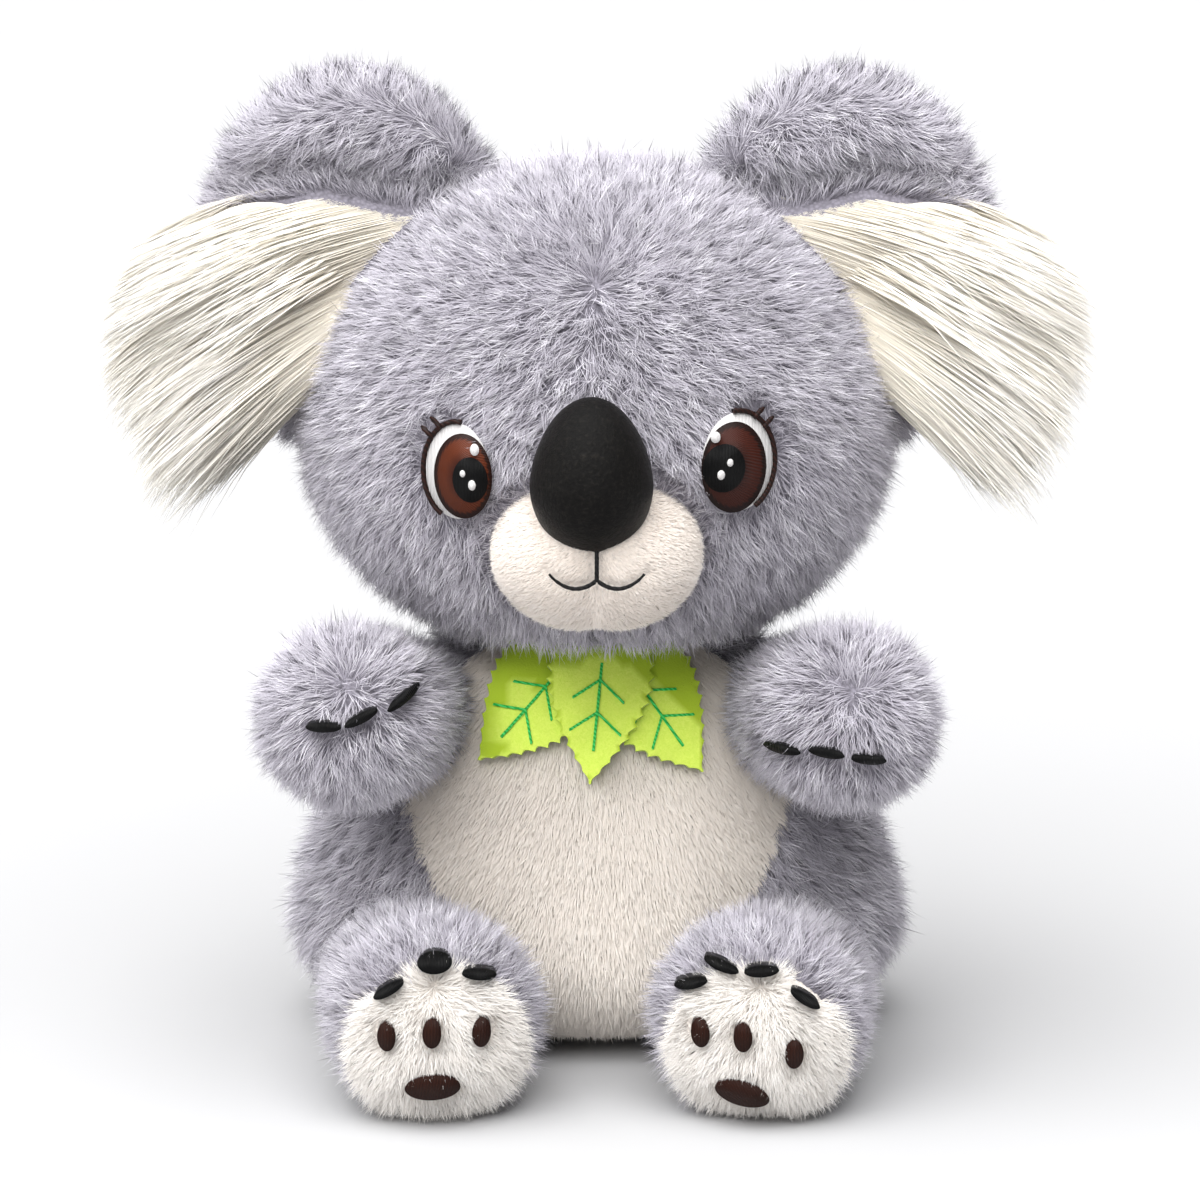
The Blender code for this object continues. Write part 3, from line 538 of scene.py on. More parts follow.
def scatter(bm, perMm2):
    # roots spread evenly over a form by area, with their normals
    mesh = bpy.data.meshes.new("scatter")
    bm.to_mesh(mesh)
    mesh.calc_loop_triangles()
    corners = readOut(mesh.loop_triangles, "vertices", 3, np.int32)
    spots = readOut(mesh.vertices, "co", 3)
    normals = readOut(mesh.vertex_normals, "vector", 3)
    bpy.data.meshes.remove(mesh)
    a, b, c = (spots[corners[:, n]] for n in range(3))
    areas = np.linalg.norm(np.cross(b - a, c - a), axis=1) / 2
    count = int(areas.sum() * 1e6 * perMm2)
    steps = (np.arange(count) + dice.random(count)) / count
    picked = np.searchsorted(np.cumsum(areas) / areas.sum(), steps)
    picked = np.minimum(picked, len(areas) - 1)
    u, v = dice.random(count), dice.random(count)
    fold = u + v > 1
    u[fold], v[fold] = 1 - u[fold], 1 - v[fold]
    shares = np.stack([1 - u - v, u, v], 1)[:, :, None]
    points = (np.stack([a[picked], b[picked], c[picked]], 1) * shares).sum(1)
    return points, unit((normals[corners[picked]] * shares).sum(1))


def nearestWisp(points, size):
    # the middle of the wisp that each root belongs to, one wisp in each cell of a grid
    cells = np.floor(points / size).astype(np.int64)
    best, middle = np.full(len(points), 1e9), points.copy()
    for offset in np.ndindex(3, 3, 3):
        cell = cells + np.array(offset) - 1
        mixed = (cell[:, 0] * 73856093) ^ (cell[:, 1] * 19349663) ^ (cell[:, 2] * 83492791)
        jitter = np.stack([((mixed >> n) % 1021) / 1021 for n in (0, 7, 13)], 1)
        spot = (cell + jitter) * size
        away = ((spot - points) ** 2).sum(1)
        nearer = away < best
        best[nearer], middle[nearer] = away[nearer], spot[nearer]
    return middle


def ownThrow(middles):
    # the same chance vector for every root of a wisp
    mixed = middles @ np.random.default_rng(3).normal(size=(3, 3)) * 9e3
    return np.sin(mixed) * 1.2


def drift(points, size, seed):
    # slow swirls in the way the pile lies
    mood = np.random.default_rng(seed)
    out = np.zeros_like(points)
    for _ in range(5):
        wave = mood.normal(size=(3, 3)) / size
        out += np.sin(points @ wave + mood.random(3) * 6.28)
    return out / 5


def growPile(name, body, look, points, normals, comb, reach, batches=1, aim=None):
    # strands lean over along the comb and gather in small tousled wisps
    count = len(points)
    wisp = nearestWisp(points, look["wisp"])
    throw = ownThrow(wisp)
    if aim is None:
        lean = look["lean"] + dice.normal(size=count) * 0.12 + throw[:, 0] * look["tousle"]
        swirl = along(comb + drift(points, 0.02, 5) * look["swirl"], normals)
        aim = normals * np.cos(lean)[:, None] + swirl * np.sin(lean)[:, None]
        stray = along(throw[:, [1, 2, 0]] + 1e-6, normals)
        aim = aim + stray * (np.abs(throw[:, 1]) * look["tousle"])[:, None]
    aim = unit(aim + dice.normal(size=(count, 3)) * look["jitter"])
    long = look["length"] * reach * np.clip(1 + dice.normal(size=count) * look["vary"], 0.5, 1.5)
    edge = look["edge"] * (1 - 0.07 * dice.random(count) ** 2)  # no strand ends farther out than this
    long = np.minimum(long, (edge - np.abs(points[:, 0])) / np.maximum(np.abs(aim[:, 0]), 0.2))
    gather = (wisp - points) - dot(wisp - points, normals) * normals
    pull = look["pull"] * (long / look["length"]) ** look["locks"]
    aim = unit(aim * long[:, None] + gather * pull[:, None])
    clear = 0.0008  # the tips end this far above the floor
    low = (points[:, 2] + aim[:, 2] * long) < clear
    aim[low, 2] = np.maximum((clear - points[low, 2]) / long[low], aim[low, 2])
    aim = unit(aim)
    up = unit(normals + dice.normal(size=(count, 3)) * look["roll"])
    facing = unit(normals - dot(normals, aim) * aim * look["facing"])
    facing = unit(facing + np.array((0, 0, look["lift"])))
    wide = look["width"] * (0.7 + 0.6 * dice.random(count))
    shade = np.clip(0.5 + 0.28 * throw[:, 2] + 0.34 * (dice.random(count) - 0.5), 0, 1)
    values = {
        "strandAim": ("FLOAT_VECTOR", "vector", aim),
        "strandUp": ("FLOAT_VECTOR", "vector", up),
        "skinUp": ("FLOAT_VECTOR", "vector", facing),
        "strandSize": ("FLOAT_VECTOR", "vector", np.stack([wide, long, long], 1)),
        "strandKind": ("INT", "value", dice.integers(0, 8, count)),
        "lot": ("FLOAT", "value", shade),
        "cell": ("INT", "value", dice.integers(0, bakeCells**2, count)),
    }
    order = np.argsort(points @ np.array((1.0, 0.13, 0.07)))  # a large pile's pieces lie side by side
    for n, part in enumerate(np.array_split(order, batches), 1):
        title = name if batches == 1 else f"{name}_{n}"
        mesh = bpy.data.meshes.new(title)
        mesh.vertices.add(len(part))
        mesh.vertices.foreach_set("co", points[part].ravel())
        for key, (kind, field, data) in values.items():
            mesh.attributes.new(key, kind, "POINT").data.foreach_set(field, data[part].ravel())
        ob = linked("roots", mesh)
        ob.modifiers.new("strands", "NODES").node_group = pileTrees[look["strand"]]
        pile = settled(ob)
        dressStrands(pile, look["softness"])
        meshPiece(title, pile, body, look["material"])
    print(name, count, "strands")


def dressStrands(mesh, softness):
    # keeps the strands off the floor, rounds their shading and gives each its own place in the bake
    mesh.shade_smooth()
    spots = readOut(mesh.vertices, "co", 3, np.float32)
    spots[:, 2] = np.maximum(spots[:, 2], 0.0004)
    mesh.vertices.foreach_set("co", spots.ravel())
    skin = readOut(mesh.attributes["skinUp"].data, "vector", 3, np.float32)
    ribbon = readOut(mesh.vertex_normals, "vector", 3, np.float32)
    ribbon *= np.sign(dot(skin, ribbon) + 1e-9)
    normals = unit(skin * softness + ribbon * (1 - softness))
    cell = readOut(mesh.attributes["cell"].data, "value", 1, np.int32)
    corner = readOut(mesh.loops, "vertex_index", 1, np.int32)
    own = readOut(mesh.uv_layers["pile"].data, "uv", 2, np.float32)
    at = np.stack([cell[corner] % bakeCells, cell[corner] // bakeCells], 1)
    place = ((at + 0.1 + own * 0.8) / bakeCells).astype(np.float32)
    mesh.uv_layers.new(name="OFBake").data.foreach_set("uv", place.ravel())
    for key in ("strandAim", "strandUp", "strandSize", "strandKind", "skinUp", "cell"):
        if key in mesh.attributes:
            mesh.attributes.remove(mesh.attributes[key])
    mesh.normals_split_custom_set_from_vertices(normals.tolist())


def smoothStep(values, low, high):
    t = np.clip((values - low) / (high - low), 0, 1)
    return t * t * (3 - 2 * t)


# each pile: its strands' length and width in m, their lean off the skin's normal in radians, roots for each
# mm2, how far the cloth lies inside the form, and how unevenly the strands lie, gather and take the light
usualPile = {
    "strand": "short", "swirl": 0.35, "vary": 0.16, "edge": 1.0, "locks": 0, "roll": 0.18, "facing": 0.75,
    "lift": 0.0,
}
greyPile = {
    **usualPile, "material": looks["grey"], "length": 0.0080, "width": 0.00026, "lean": 0.64, "jitter": 0.15,
    "wisp": 0.0026, "pull": 0.40, "perMm2": 2.7, "inset": 0.0058, "softness": 0.85, "tousle": 0.34,
}
eyes = {  # across, up, half width and half height of the white, the iris and the pupil
    "left": (
        (-0.0399, 0.1871, 0.0093, 0.0139), (-0.0382, 0.1859, 0.0084, 0.0124), (-0.0361, 0.1851, 0.0051, 0.0066),
    ),
    "right": (
        (0.0402, 0.1898, 0.0103, 0.0143), (0.0391, 0.1884, 0.0094, 0.0132), (0.0362, 0.1885, 0.0062, 0.0070),
    ),
}


# head
headFur = {  # the places that the pile is combed away from; for an eye only how far back it lies
    "whorl": (0, -0.045, 0.240), "muzzle": (0, -0.03, 0.168), "nose": (-0.0015, -0.03, 0.190),
    "eyeDepth": -0.03,
}


def makeHead():
    bm = shapedBall(headForm, -greyPile["inset"], 5)
    cutFlat(bm, neck + 0.0012, above=False)
    points, normals = scatter(bm, greyPile["perMm2"])
    skin = finishPiece("head_plush", bm, "head", looks["shadowGreyBacking"], ("head_skin", "head_fill"))
    inMuzzle = np.maximum(*[depthIn(lobeForm(side), points) for side in sides])
    inNose = depthIn(noseForm, points)
    x, y, z = points.T
    front = y < -0.02
    underMuzzle = inMuzzle > 0.0015 + 0.0062 * smoothStep(z, 0.162, 0.174)
    keep = ~(front & underMuzzle) & ~(inNose > 0.0005) & (z > neck + 0.002)
    away = points - np.array(headFur["whorl"])
    away[:, 2] -= 0.018 * smoothStep(0.215 - z, 0, 0.05)
    down = np.zeros_like(points)
    down[:, 2] = -1
    comb = along(away, normals) + along(down, normals) * smoothStep(0.200 - z, -0.02, 0.04)[:, None] * 1.1
    sideways = np.sign(x)[:, None] * np.array((1.0, 0, 0))
    cheeks = 0.55 * smoothStep(0.16 - np.abs(z - 0.19), 0.1, 0.16)
    comb += along(sideways + 1e-6, normals) * cheeks[:, None]
    nearMuzzle = smoothStep(inMuzzle, -0.007, -0.0005) * front
    nearNose = smoothStep(inNose, -0.008, -0.001) * front
    for near, middle in ((nearMuzzle, headFur["muzzle"]), (nearNose, headFur["nose"])):
        outward = along(points - np.array(middle), normals)
        comb = comb * (1 - near)[:, None] + outward * (near * 1.2)[:, None]
    reach = 1 - 0.45 * np.maximum(nearMuzzle, nearNose)
    for side, s in sides.items():
        out, height, wide, tall = eyes[side][0]
        across = (x - out) * s
        ring = np.hypot(across / wide, (z - height) / tall)
        inner = smoothStep(-across, 0.002, 0.009)
        keep &= ~(front & (ring < 0.99 - 0.02 * inner))
        near = (1 - smoothStep(ring, 1.0, 1.65)) * front
        reach *= 1 - near * (0.45 - 0.27 * inner)
        outward = points - np.array((out, headFur["eyeDepth"], height))
        turned = (near * (1 - inner))[:, None]
        comb = comb * (1 - turned) + along(outward, normals) * turned
    chin = smoothStep(0.150 - z, 0, 0.012) * front * (1 - smoothStep(np.abs(x), 0.0008, 0.0028))
    reach *= 1 - 0.4 * chin  # the seam under the chin
    points, normals, comb, reach = (v[keep] for v in (points, normals, comb, reach))
    growPile("head_pile", "head", greyPile, points, normals, comb, reach, 3)


# muzzle and nose
muzzle = {
    "inset": 0.0014, "voxel": 0.0012, "top": 0.168, "squeeze": 0.84, "groove": 0.0009, "grooveWidth": 0.0016,
}
velourPile = {
    **usualPile, "material": looks["velour"], "length": 0.0021, "width": 0.00022, "lean": 0.80, "jitter": 0.16,
    "wisp": 0.0020, "pull": 0.15, "perMm2": 6.4, "softness": 0.96, "vary": 0.14, "tousle": 0.05,
}
mouth = {
    "halfWidth": 0.0134, "height": 0.1612, "dip": 0.0033, "rise": 0.0016, "lipFoot": 0.1614, "lipStep": 0.0006,
    "thread": 0.00062,
}


def mouthLine():
    # the smile and the line up to the nose, as (across, up)
    smile = []
    for n in range(33):
        x = mouth["halfWidth"] * (n / 16 - 1)
        share = min(abs(x) / mouth["halfWidth"], 1)
        dip = mouth["dip"] * math.sin(math.pi * share) ** 0.8
        smile.append((x, mouth["height"] - dip + mouth["rise"] * share))
    return smile, [(0.0, mouth["lipFoot"] + n * mouth["lipStep"]) for n in range(14)]


def makeMuzzle():
    bm = bmesh.new()
    for side in sides:
        lobe = meshOf("lobe", shapedBall(lobeForm(side), -muzzle["inset"], 5))
        bm.from_mesh(lobe)
        bpy.data.meshes.remove(lobe)
    mesh = applied("muzzle", bm, [
        ("REMESH", {"mode": "VOXEL", "voxel_size": muzzle["voxel"], "use_smooth_shade": True}),
        ("SMOOTH", {"factor": 0.5, "iterations": 8}),
    ])
    smile, lip = mouthLine()
    line = np.array(smile + lip)
    bm = bmesh.new()
    bm.from_mesh(mesh)
    for v in bm.verts:
        if v.co.z > muzzle["top"]:  # lower there, where the head's pile hides it
            v.co.z = muzzle["top"] + (v.co.z - muzzle["top"]) * muzzle["squeeze"]
        if v.co.y < -0.06:
            away = np.hypot(line[:, 0] - v.co.x, line[:, 1] - v.co.z).min()
            v.co.y += muzzle["groove"] * math.exp(-((away / muzzle["grooveWidth"]) ** 2))
    points, normals = scatter(bm, velourPile["perMm2"])
    skin = finishPiece("muzzle_plush", bm, "head", looks["velourBacking"], ("muzzle_pad",))
    inNose = depthIn(noseForm, points)
    inHead = depthIn(headForm, points, -0.006)
    x, y, z = points.T
    thread = np.full(len(points), 1e9)
    for a, b in line:
        thread = np.minimum(thread, np.hypot(x - a, z - b))
    thread[y > -0.06] = 1
    keep = (inNose < 0.0004) & (inHead < 0.001) & (thread > 0.0004)
    reach = 1 - 0.55 * smoothStep(inNose, -0.003, 0) - 0.55 * (1 - smoothStep(thread, 0.0003, 0.0022))
    outward = points - np.array((0, -0.06, 0.172))
    outward[:, 0] *= 1.5
    points, normals, outward, reach = (v[keep] for v in (points, normals, outward, reach))
    growPile(
        "muzzle_pile", "head", velourPile, points, normals, along(outward, normals), reach
    )


nose = {  # the stuffing hangs low in it; a seam runs up from its foot
    "above": 0.92, "below": 1.14, "seamTop": 0.1745, "seamFade": 0.0075, "seamDepth": 0.0007,
    "seamWidth": 0.0006,
}


def makeNose():
    bm = shapedBall(noseForm, 0.0, 6)
    middle = noseForm["centre"]
    for v in bm.verts:
        v.co.z = middle[2] + (v.co.z - middle[2]) * nose["above" if v.co.z > middle[2] else "below"]
        low = max(0.0, (nose["seamTop"] - v.co.z) / nose["seamFade"])
        if v.co.y < -0.07 and low > 0:
            out = (v.co.x - middle[0]) / nose["seamWidth"]
            v.co.y += nose["seamDepth"] * min(low, 1) * math.exp(-(out**2))
    finishPiece("nose_suede", bm, "head", looks["suede"], ("nose_pad",))


def tubeAlong(name, paths, radius, body, material, replaced=(), taper=0.0):
    # threads of round section that follow paths
    curve = bpy.data.curves.new(name, "CURVE")
    curve.dimensions = "3D"
    curve.bevel_depth = radius
    curve.bevel_resolution = 3
    curve.use_fill_caps = True
    for path in paths:
        line = curve.splines.new("POLY")
        line.points.add(len(path) - 1)
        for n, (spot, p) in enumerate(zip(line.points, path)):
            spot.co = (*p, 1)
            share = n / (len(path) - 1)
            spot.radius = 1 - taper * abs(2 * share - 1) ** 3 + 0.09 * math.sin(n * 2.6)
    return meshPiece(name, settled(linked(name, curve)), body, material, replaced)


def muzzleFront(x, z):
    # how far forward the muzzle reaches
    reach = 0
    for side in sides:
        form = lobeForm(side)
        middle = form["centre"]
        across, tall = (x - middle[0]) / form["halfWidth"], form["up" if z > middle[2] else "down"]
        reach = max(reach, 1 - across * across - ((z - middle[2]) / tall) ** 2)
    return middle[1] - form["front"] * math.sqrt(reach)


def makeMouth():
    smile, lip = mouthLine()
    for part, line, taper in (("mouth", smile, 0.45), ("lip", lip, 0.0)):
        path = [(x, muzzleFront(x, z) - 0.0004, z) for x, z in line]
        tubeAlong(
            f"{part}_thread", [path], mouth["thread"], "head", looks["blackThread"],
            (f"{part}_stitch",), taper,
        )


# embroidery
def stitchedPatch(
    name, surface, middle, half, turn, lift, depth, dome, body, material, replaced=()
):
    # a satin-stitched oval whose rim lies on a surface, raised in the middle, its sides sunk into the pile
    bm = bmesh.new()
    bmesh.ops.create_circle(bm, cap_ends=True, segments=64, radius=1.0)
    bmesh.ops.poke(bm, faces=bm.faces[:])
    if bm.faces[:][0].normal.z < 0:
        bmesh.ops.reverse_faces(bm, faces=bm.faces)
    lean = math.radians(turn)
    roundMap = bm.loops.layers.uv.new("round")
    stitchMap = bm.loops.layers.uv.new("stitch")
    for f in bm.faces:
        whole = [math.atan2(loop.vert.co.y, loop.vert.co.x) / (2 * math.pi) for loop in f.loops]
        seam = max(whole) - min(whole) > 0.5
        for loop, angle in zip(f.loops, whole):
            x, y = loop.vert.co.x, loop.vert.co.y
            loop[roundMap].uv = (angle + 1 if seam and angle < 0 else angle, math.hypot(x, y))
            loop[stitchMap].uv = (x * half[0] + 0.05, y * half[1] + 0.05)
    rim = [e for e in bm.edges if e.is_boundary]
    for v in bm.verts:
        x, z, r = v.co.x * half[0], v.co.y * half[1], min(1.0, v.co.length)
        across = middle[0] + x * math.cos(lean) - z * math.sin(lean)
        upward = middle[1] + x * math.sin(lean) + z * math.cos(lean)
        v.co = (across, surface(across, upward) - lift - dome * 0.001 * (1 - r**4), upward)
    wall = bmesh.ops.extrude_edge_only(bm, edges=rim)["geom"]
    for v in wall:
        if isinstance(v, bmesh.types.BMVert):
            v.co.x = middle[0] + (v.co.x - middle[0]) * 0.9
            v.co.z = middle[1] + (v.co.z - middle[1]) * 0.9
            v.co.y += depth
    bmesh.ops.holes_fill(bm, edges=[e for e in bm.edges if e.is_boundary], sides=0)
    bmesh.ops.recalc_face_normals(bm, faces=bm.faces)
    return finishPiece(name, bm, body, material, replaced)


def headFront(x, z):
    # how far forward the head reaches
    middle = headForm["centre"]
    tall = headForm["up" if z > middle[2] else "down"]
    inside = 1 - (x / headForm["halfWidth"]) ** 2 - ((z - middle[2]) / tall) ** 2
    return middle[1] - headForm["front"] * math.sqrt(max(inside, 0))


# the right iris's browns are darker than the left's: painted shade on the same brown thread
irisLooks = {"left": ("#240C06", "#3B160A", "#5B2710"), "right": ("#1C0905", "#2A0F08", "#3D160B")}
catchlights = {  # across, up, half width and half height
    "left": (
        (-0.0348, 0.1940, 0.0013, 0.0017), (-0.0383, 0.1869, 0.0008, 0.0010), (-0.0356, 0.1837, 0.0011, 0.0015),
    ),
    "right": (
        (0.0338, 0.1976, 0.0014, 0.0016), (0.0380, 0.1901, 0.0009, 0.0011), (0.0354, 0.1867, 0.0011, 0.0014),
    ),
}
eyeThreads = {  # half their thickness, the outline's distance from the white, and where the lashes start
    "outline": 0.00076, "lash": 0.00078, "gap": 0.0005, "lashFeet": ((0.0074, 0.0096), (0.0047, 0.0124)),
}


def makeEye(side):
    s = sides[side]
    irisLook = irisMaterial(f"brownIris_{side}", *irisLooks[side])
    layers = (  # height over the head and depth in m, dome in mm, look, slot
        ("eye_white", 0.0002, 0.006, 0.2, looks["whiteSatin"], "white_thread"),
        ("iris", 0.0006, 0.004, 0.25, irisLook, "brown_thread"),
        ("pupil", 0.0010, 0.003, 0.25, looks["blackSatin"], "black_thread"),
    )
    for (part, lift, depth, dome, look, slotName), (x, z, wide, tall) in zip(layers, eyes[side]):
        stitchedPatch(
            f"{part}_stitching_{side}", headFront, (x, z), (wide, tall), 0, lift, depth, dome, "head", look,
            (f"{part}_{side}",),
        )
    for n, (x, z, wide, tall) in enumerate(catchlights[side], 1):
        stitchedPatch(
            f"eye_shine_{side}_{n}", headFront, (x, z), (wide, tall), 0, 0.0014, 0.0012, 0.25, "head",
            looks["whiteSatin"],
        )
    out, height, wide, tall = eyes[side][0]
    ring = []
    for n in range(41):  # the fur hides the outline on the nose's side
        a = math.radians(-62 + 4.0 * n)
        x = out + s * (wide + eyeThreads["gap"]) * math.cos(a)
        z = height + (tall + eyeThreads["gap"]) * math.sin(a)
        ring.append((x, headFront(x, z) - 0.0004, z))
    tubeAlong(
        f"eye_outline_{side}", [ring], eyeThreads["outline"], "head", looks["outlineThread"]
    )
    lashes = []
    for across, rise in eyeThreads["lashFeet"]:
        foot = Vector((out + s * across, 0, height + rise))
        tip = foot + Vector((s * 0.0021, 0, 0.0029))
        lash = [foot.lerp(tip, t / 4) + Vector((s * 0.0002 * t * t / 4, 0, 0)) for t in range(5)]
        lashes.append([(p.x, headFront(p.x, p.z) - 0.0012, p.z) for p in lash])
    tubeAlong(
        f"eye_lashes_{side}", lashes, eyeThreads["lash"], "head", looks["outlineThread"],
        taper=0.5,
    )


# body, belly, limbs
def torsoComb(points, normals):
    flow = np.zeros_like(points)
    flow[:, 2] = -1
    flow[:, 0] = np.clip(points[:, 0] / 0.05, -1, 1) * 0.25
    flow[:, 1] = 0.3
    return along(flow, normals)


belly = {"halfWidth": 0.057, "widest": 0.086, "above": 0.080, "below": 0.100, "thickness": 0.0015}
whitePile = {
    **usualPile, "material": looks["white"], "length": 0.0042, "width": 0.00036, "lean": 1.0, "jitter": 0.10,
    "wisp": 0.0022, "pull": 0.10, "perMm2": 4.6, "inset": 0.0030, "softness": 0.98, "tousle": 0.06,
    "swirl": 0.2,
}


def bellyEdge(z):
    # half the width of the white belly at each height
    above = z > belly["widest"]
    share = np.where(above, (z - belly["widest"]) / belly["above"], (belly["widest"] - z) / belly["below"])
    return belly["halfWidth"] * (1 - np.clip(share, 0, 1) ** np.where(above, 2.0, 1.5))


def limbForms():
    return [form(side) for form in (armForm, legForm) for side in sides]


def clearOf(forms, points, deepest):
    # true where no form covers a root by more than a depth
    keep = np.ones(len(points), bool)
    for form in forms:
        keep &= depthIn(form, points) < deepest
    return keep


def makeBody():
    bm = shapedBall(torsoForm, -greyPile["inset"] + 0.0020, 5)
    cutFlat(bm, neck - 0.0004)
    cutFlat(bm, 0.0005, above=False)
    points, normals = scatter(bm, greyPile["perMm2"] * 0.90)
    mesh = carvedBy("body_plush", bm, limbForms(), -greyPile["inset"] + 0.0012)
    replaced = ("body_skin", "body_fill")
    meshPiece("body_plush", mesh, "torso", looks["shadowGreyBacking"], replaced)
    x, y, z = points.T
    keep = (z > 0.0015) & (z < neck - 0.001) & (normals[:, 2] > -0.9)
    keep &= ~((y < 0.0) & (np.abs(x) < bellyEdge(z) - 0.001)) & clearOf(limbForms(), points, 0.007)
    points, normals = points[keep], normals[keep]
    reach = 1 + 0.2 * smoothStep(0.09 - points[:, 2], 0, 0.04)
    comb = torsoComb(points, normals)
    growPile("body_pile", "torso", greyPile, points, normals, comb, reach, 2)


def cappedPatch(form, grow, inside, thick):
    # the part of a form that lies inside an outline: a thin closed pad, and its face for the pile's roots
    bm = shapedBall(form, grow, 6)
    outside = [f for f in bm.faces if not inside(f.calc_center_median())]
    bmesh.ops.delete(bm, geom=outside, context="FACES")
    rim = [v for v in bm.verts if v.is_boundary]
    bmesh.ops.smooth_vert(bm, verts=rim, factor=0.5, use_axis_x=True, use_axis_y=True, use_axis_z=True)
    face = bm.copy()
    bmesh.ops.solidify(bm, geom=bm.faces[:], thickness=thick)
    return bm, face


def makeBelly():
    def inside(spot):
        return spot.y < 0.0 and abs(spot.x) < bellyEdge(spot.z) + 0.001 and 0.002 < spot.z < neck - 0.002

    bm, face = cappedPatch(torsoForm, -whitePile["inset"], inside, belly["thickness"])
    points, normals = scatter(face, whitePile["perMm2"])
    face.free()
    skin = finishPiece("belly_plush", bm, "torso", looks["whiteBacking"], ("belly_panel",))
    keep = clearOf(limbForms(), points, 0.005)
    points, normals = points[keep], normals[keep]
    comb = torsoComb(points, normals)
    growPile("belly_pile", "torso", whitePile, points, normals, comb, np.ones(len(points)))


def surfaceOf(form, fine, beyond):
    # how far forward a form reaches, and a depth to take beyond its edge
    bm = shapedBall(form, fine=fine)
    tree = BVHTree.FromBMesh(bm)
    bm.free()

    def front(x, z):
        hit = tree.ray_cast(Vector((x, -0.3, z)), Vector((0, 1, 0)))[0]
        return hit.y if hit else beyond

    return front


marks = {  # across and up from the tip's middle in shares of its radius, turn in degrees, extra height
    "paw_claw_left": ((-0.18, 0.12, 2), (0.20, 0.21, 25), (0.62, 0.36, 32)),
    "paw_claw_right": ((-0.70, -0.17, 0), (-0.26, -0.15, -8), (0.17, -0.22, -8)),
    "foot_claw_left": ((-0.37, 0.43, 30), (0.02, 0.64, 0, 1.9), (0.40, 0.53, -10)),
    "foot_claw_right": ((-0.60, 0.43, 20), (-0.34, 0.60, -12), (0.00, 0.58, 4), (0.37, 0.36, -33)),
    "toe_pad_left": ((-0.39, 0.03, 0), (0.00, 0.07, 0), (0.42, 0.05, 0)),
    "toe_pad_right": ((-0.52, 0.03, 0), (-0.16, 0.03, 0), (0.28, -0.12, 0)),
    "sole_pad_left": ((0.00, -0.43, 3),),
    "sole_pad_right": ((-0.16, -0.50, -15),),
}
markSizes = {  # half the width and half the height
    "paw_claw": (0.0052, 0.0014), "foot_claw": (0.0050, 0.0014), "toe_pad": (0.0027, 0.0042),
    "sole_pad": (0.0080, 0.0040),
}
markLooks = {  # height over the skin in m, dome in mm, look and slot
    "claw": (0.0022, 0.8, "blackSatin", "black_thread"),
    "pad": (0.0003, 0.4, "brownSatin", "dark_thread"),
}


def markSpots(kind, side):
    form = armForm(side) if kind.startswith("paw") else legForm(side)
    middle, radius = form["tip"], form["tipRadius"]
    spots = []
    for x, z, turn, *tall in marks[f"{kind}_{side}"]:
        spots.append((middle[0] + x * radius, middle[2] + z * radius, turn, tall[0] if tall else 1.0))
    return spots


def makeMarks(side):
    for kind, half in markSizes.items():
        limb, form = ("arm", armForm(side)) if kind.startswith("paw") else ("leg", legForm(side))
        surface = surfaceOf(form, 5, form["tip"][1])
        lift, dome, look, slotName = markLooks[kind.split("_")[1]]
        spots = markSpots(kind, side)
        for n, (x, z, turn, tall) in enumerate(spots, 1):
            node = f"{kind}_{side}" if len(spots) == 1 else f"{kind}_{side}_{n}"
            stitchedPatch(
                node.replace(kind, kind + "_stitching"), surface, (x, z), (half[0], half[1] * tall), turn, lift,
                0.005, dome, f"{limb}_{side}", looks[look], (node,),
            )


def nearMarks(points, side, kinds):
    # 0 on a mark, 1 well away from all of them
    free = np.ones(len(points))
    for kind in kinds:
        half = markSizes[kind]
        for x, z, turn, tall in markSpots(kind, side):
            a = math.radians(turn)
            dx, dz = points[:, 0] - x, points[:, 2] - z
            u, v = dx * math.cos(a) + dz * math.sin(a), -dx * math.sin(a) + dz * math.cos(a)
            ring = np.hypot(u / (half[0] + 0.0008), v / (half[1] * tall + 0.0008))
            over = (v > 0.4 * half[1]) & ("pad" in kind)  # the pile is longer above a pad
            free = np.minimum(free, smoothStep(ring, 0.9, np.where(over, 1.3, 1.7)))
    return free


def makeArm(side):
    form, limb = armForm(side), f"arm_{side}"
    bm = shapedBall(form, -greyPile["inset"] + 0.0015, 5)
    points, normals = scatter(bm, greyPile["perMm2"] * 1.05)
    replaced = (f"arm_skin_{side}", f"arm_fill_{side}")
    finishPiece(f"arm_plush_{side}", bm, limb, looks["shadowGreyBacking"], replaced)
    free = nearMarks(points, side, ["paw_claw"])
    free[points[:, 1] > form["tip"][1]] = 1
    keep = (depthIn(torsoForm, points) < 0.008) & (depthIn(headForm, points) < 0.006) & (free > 0.02)
    points, normals, free = points[keep], normals[keep], free[keep]
    flow = points - (np.array(form["tip"]) + np.array((0, -0.030, 0.010)))  # away from the claws
    flow[:, 2] -= 0.010
    ruffle = np.exp(-((np.linalg.norm(flow, axis=1) / 0.016) ** 2))
    flow += drift(points, 0.006, 9) * (0.03 * ruffle)[:, None]
    comb, reach = along(flow, normals), 0.45 + 0.5 * free
    growPile(f"arm_pile_{side}", limb, greyPile, points, normals, comb, reach)


sole = {"middle": (0.0462, 0.0225), "radius": 0.0240, "front": -0.072, "thickness": 0.0008}
solePile = {
    **usualPile, "material": looks["sole"], "length": 0.0058, "width": 0.00024, "lean": 0.55, "jitter": 0.18,
    "wisp": 0.0024, "pull": 0.22, "perMm2": 7.0, "inset": 0.0046, "softness": 0.94, "tousle": 0.12,
}


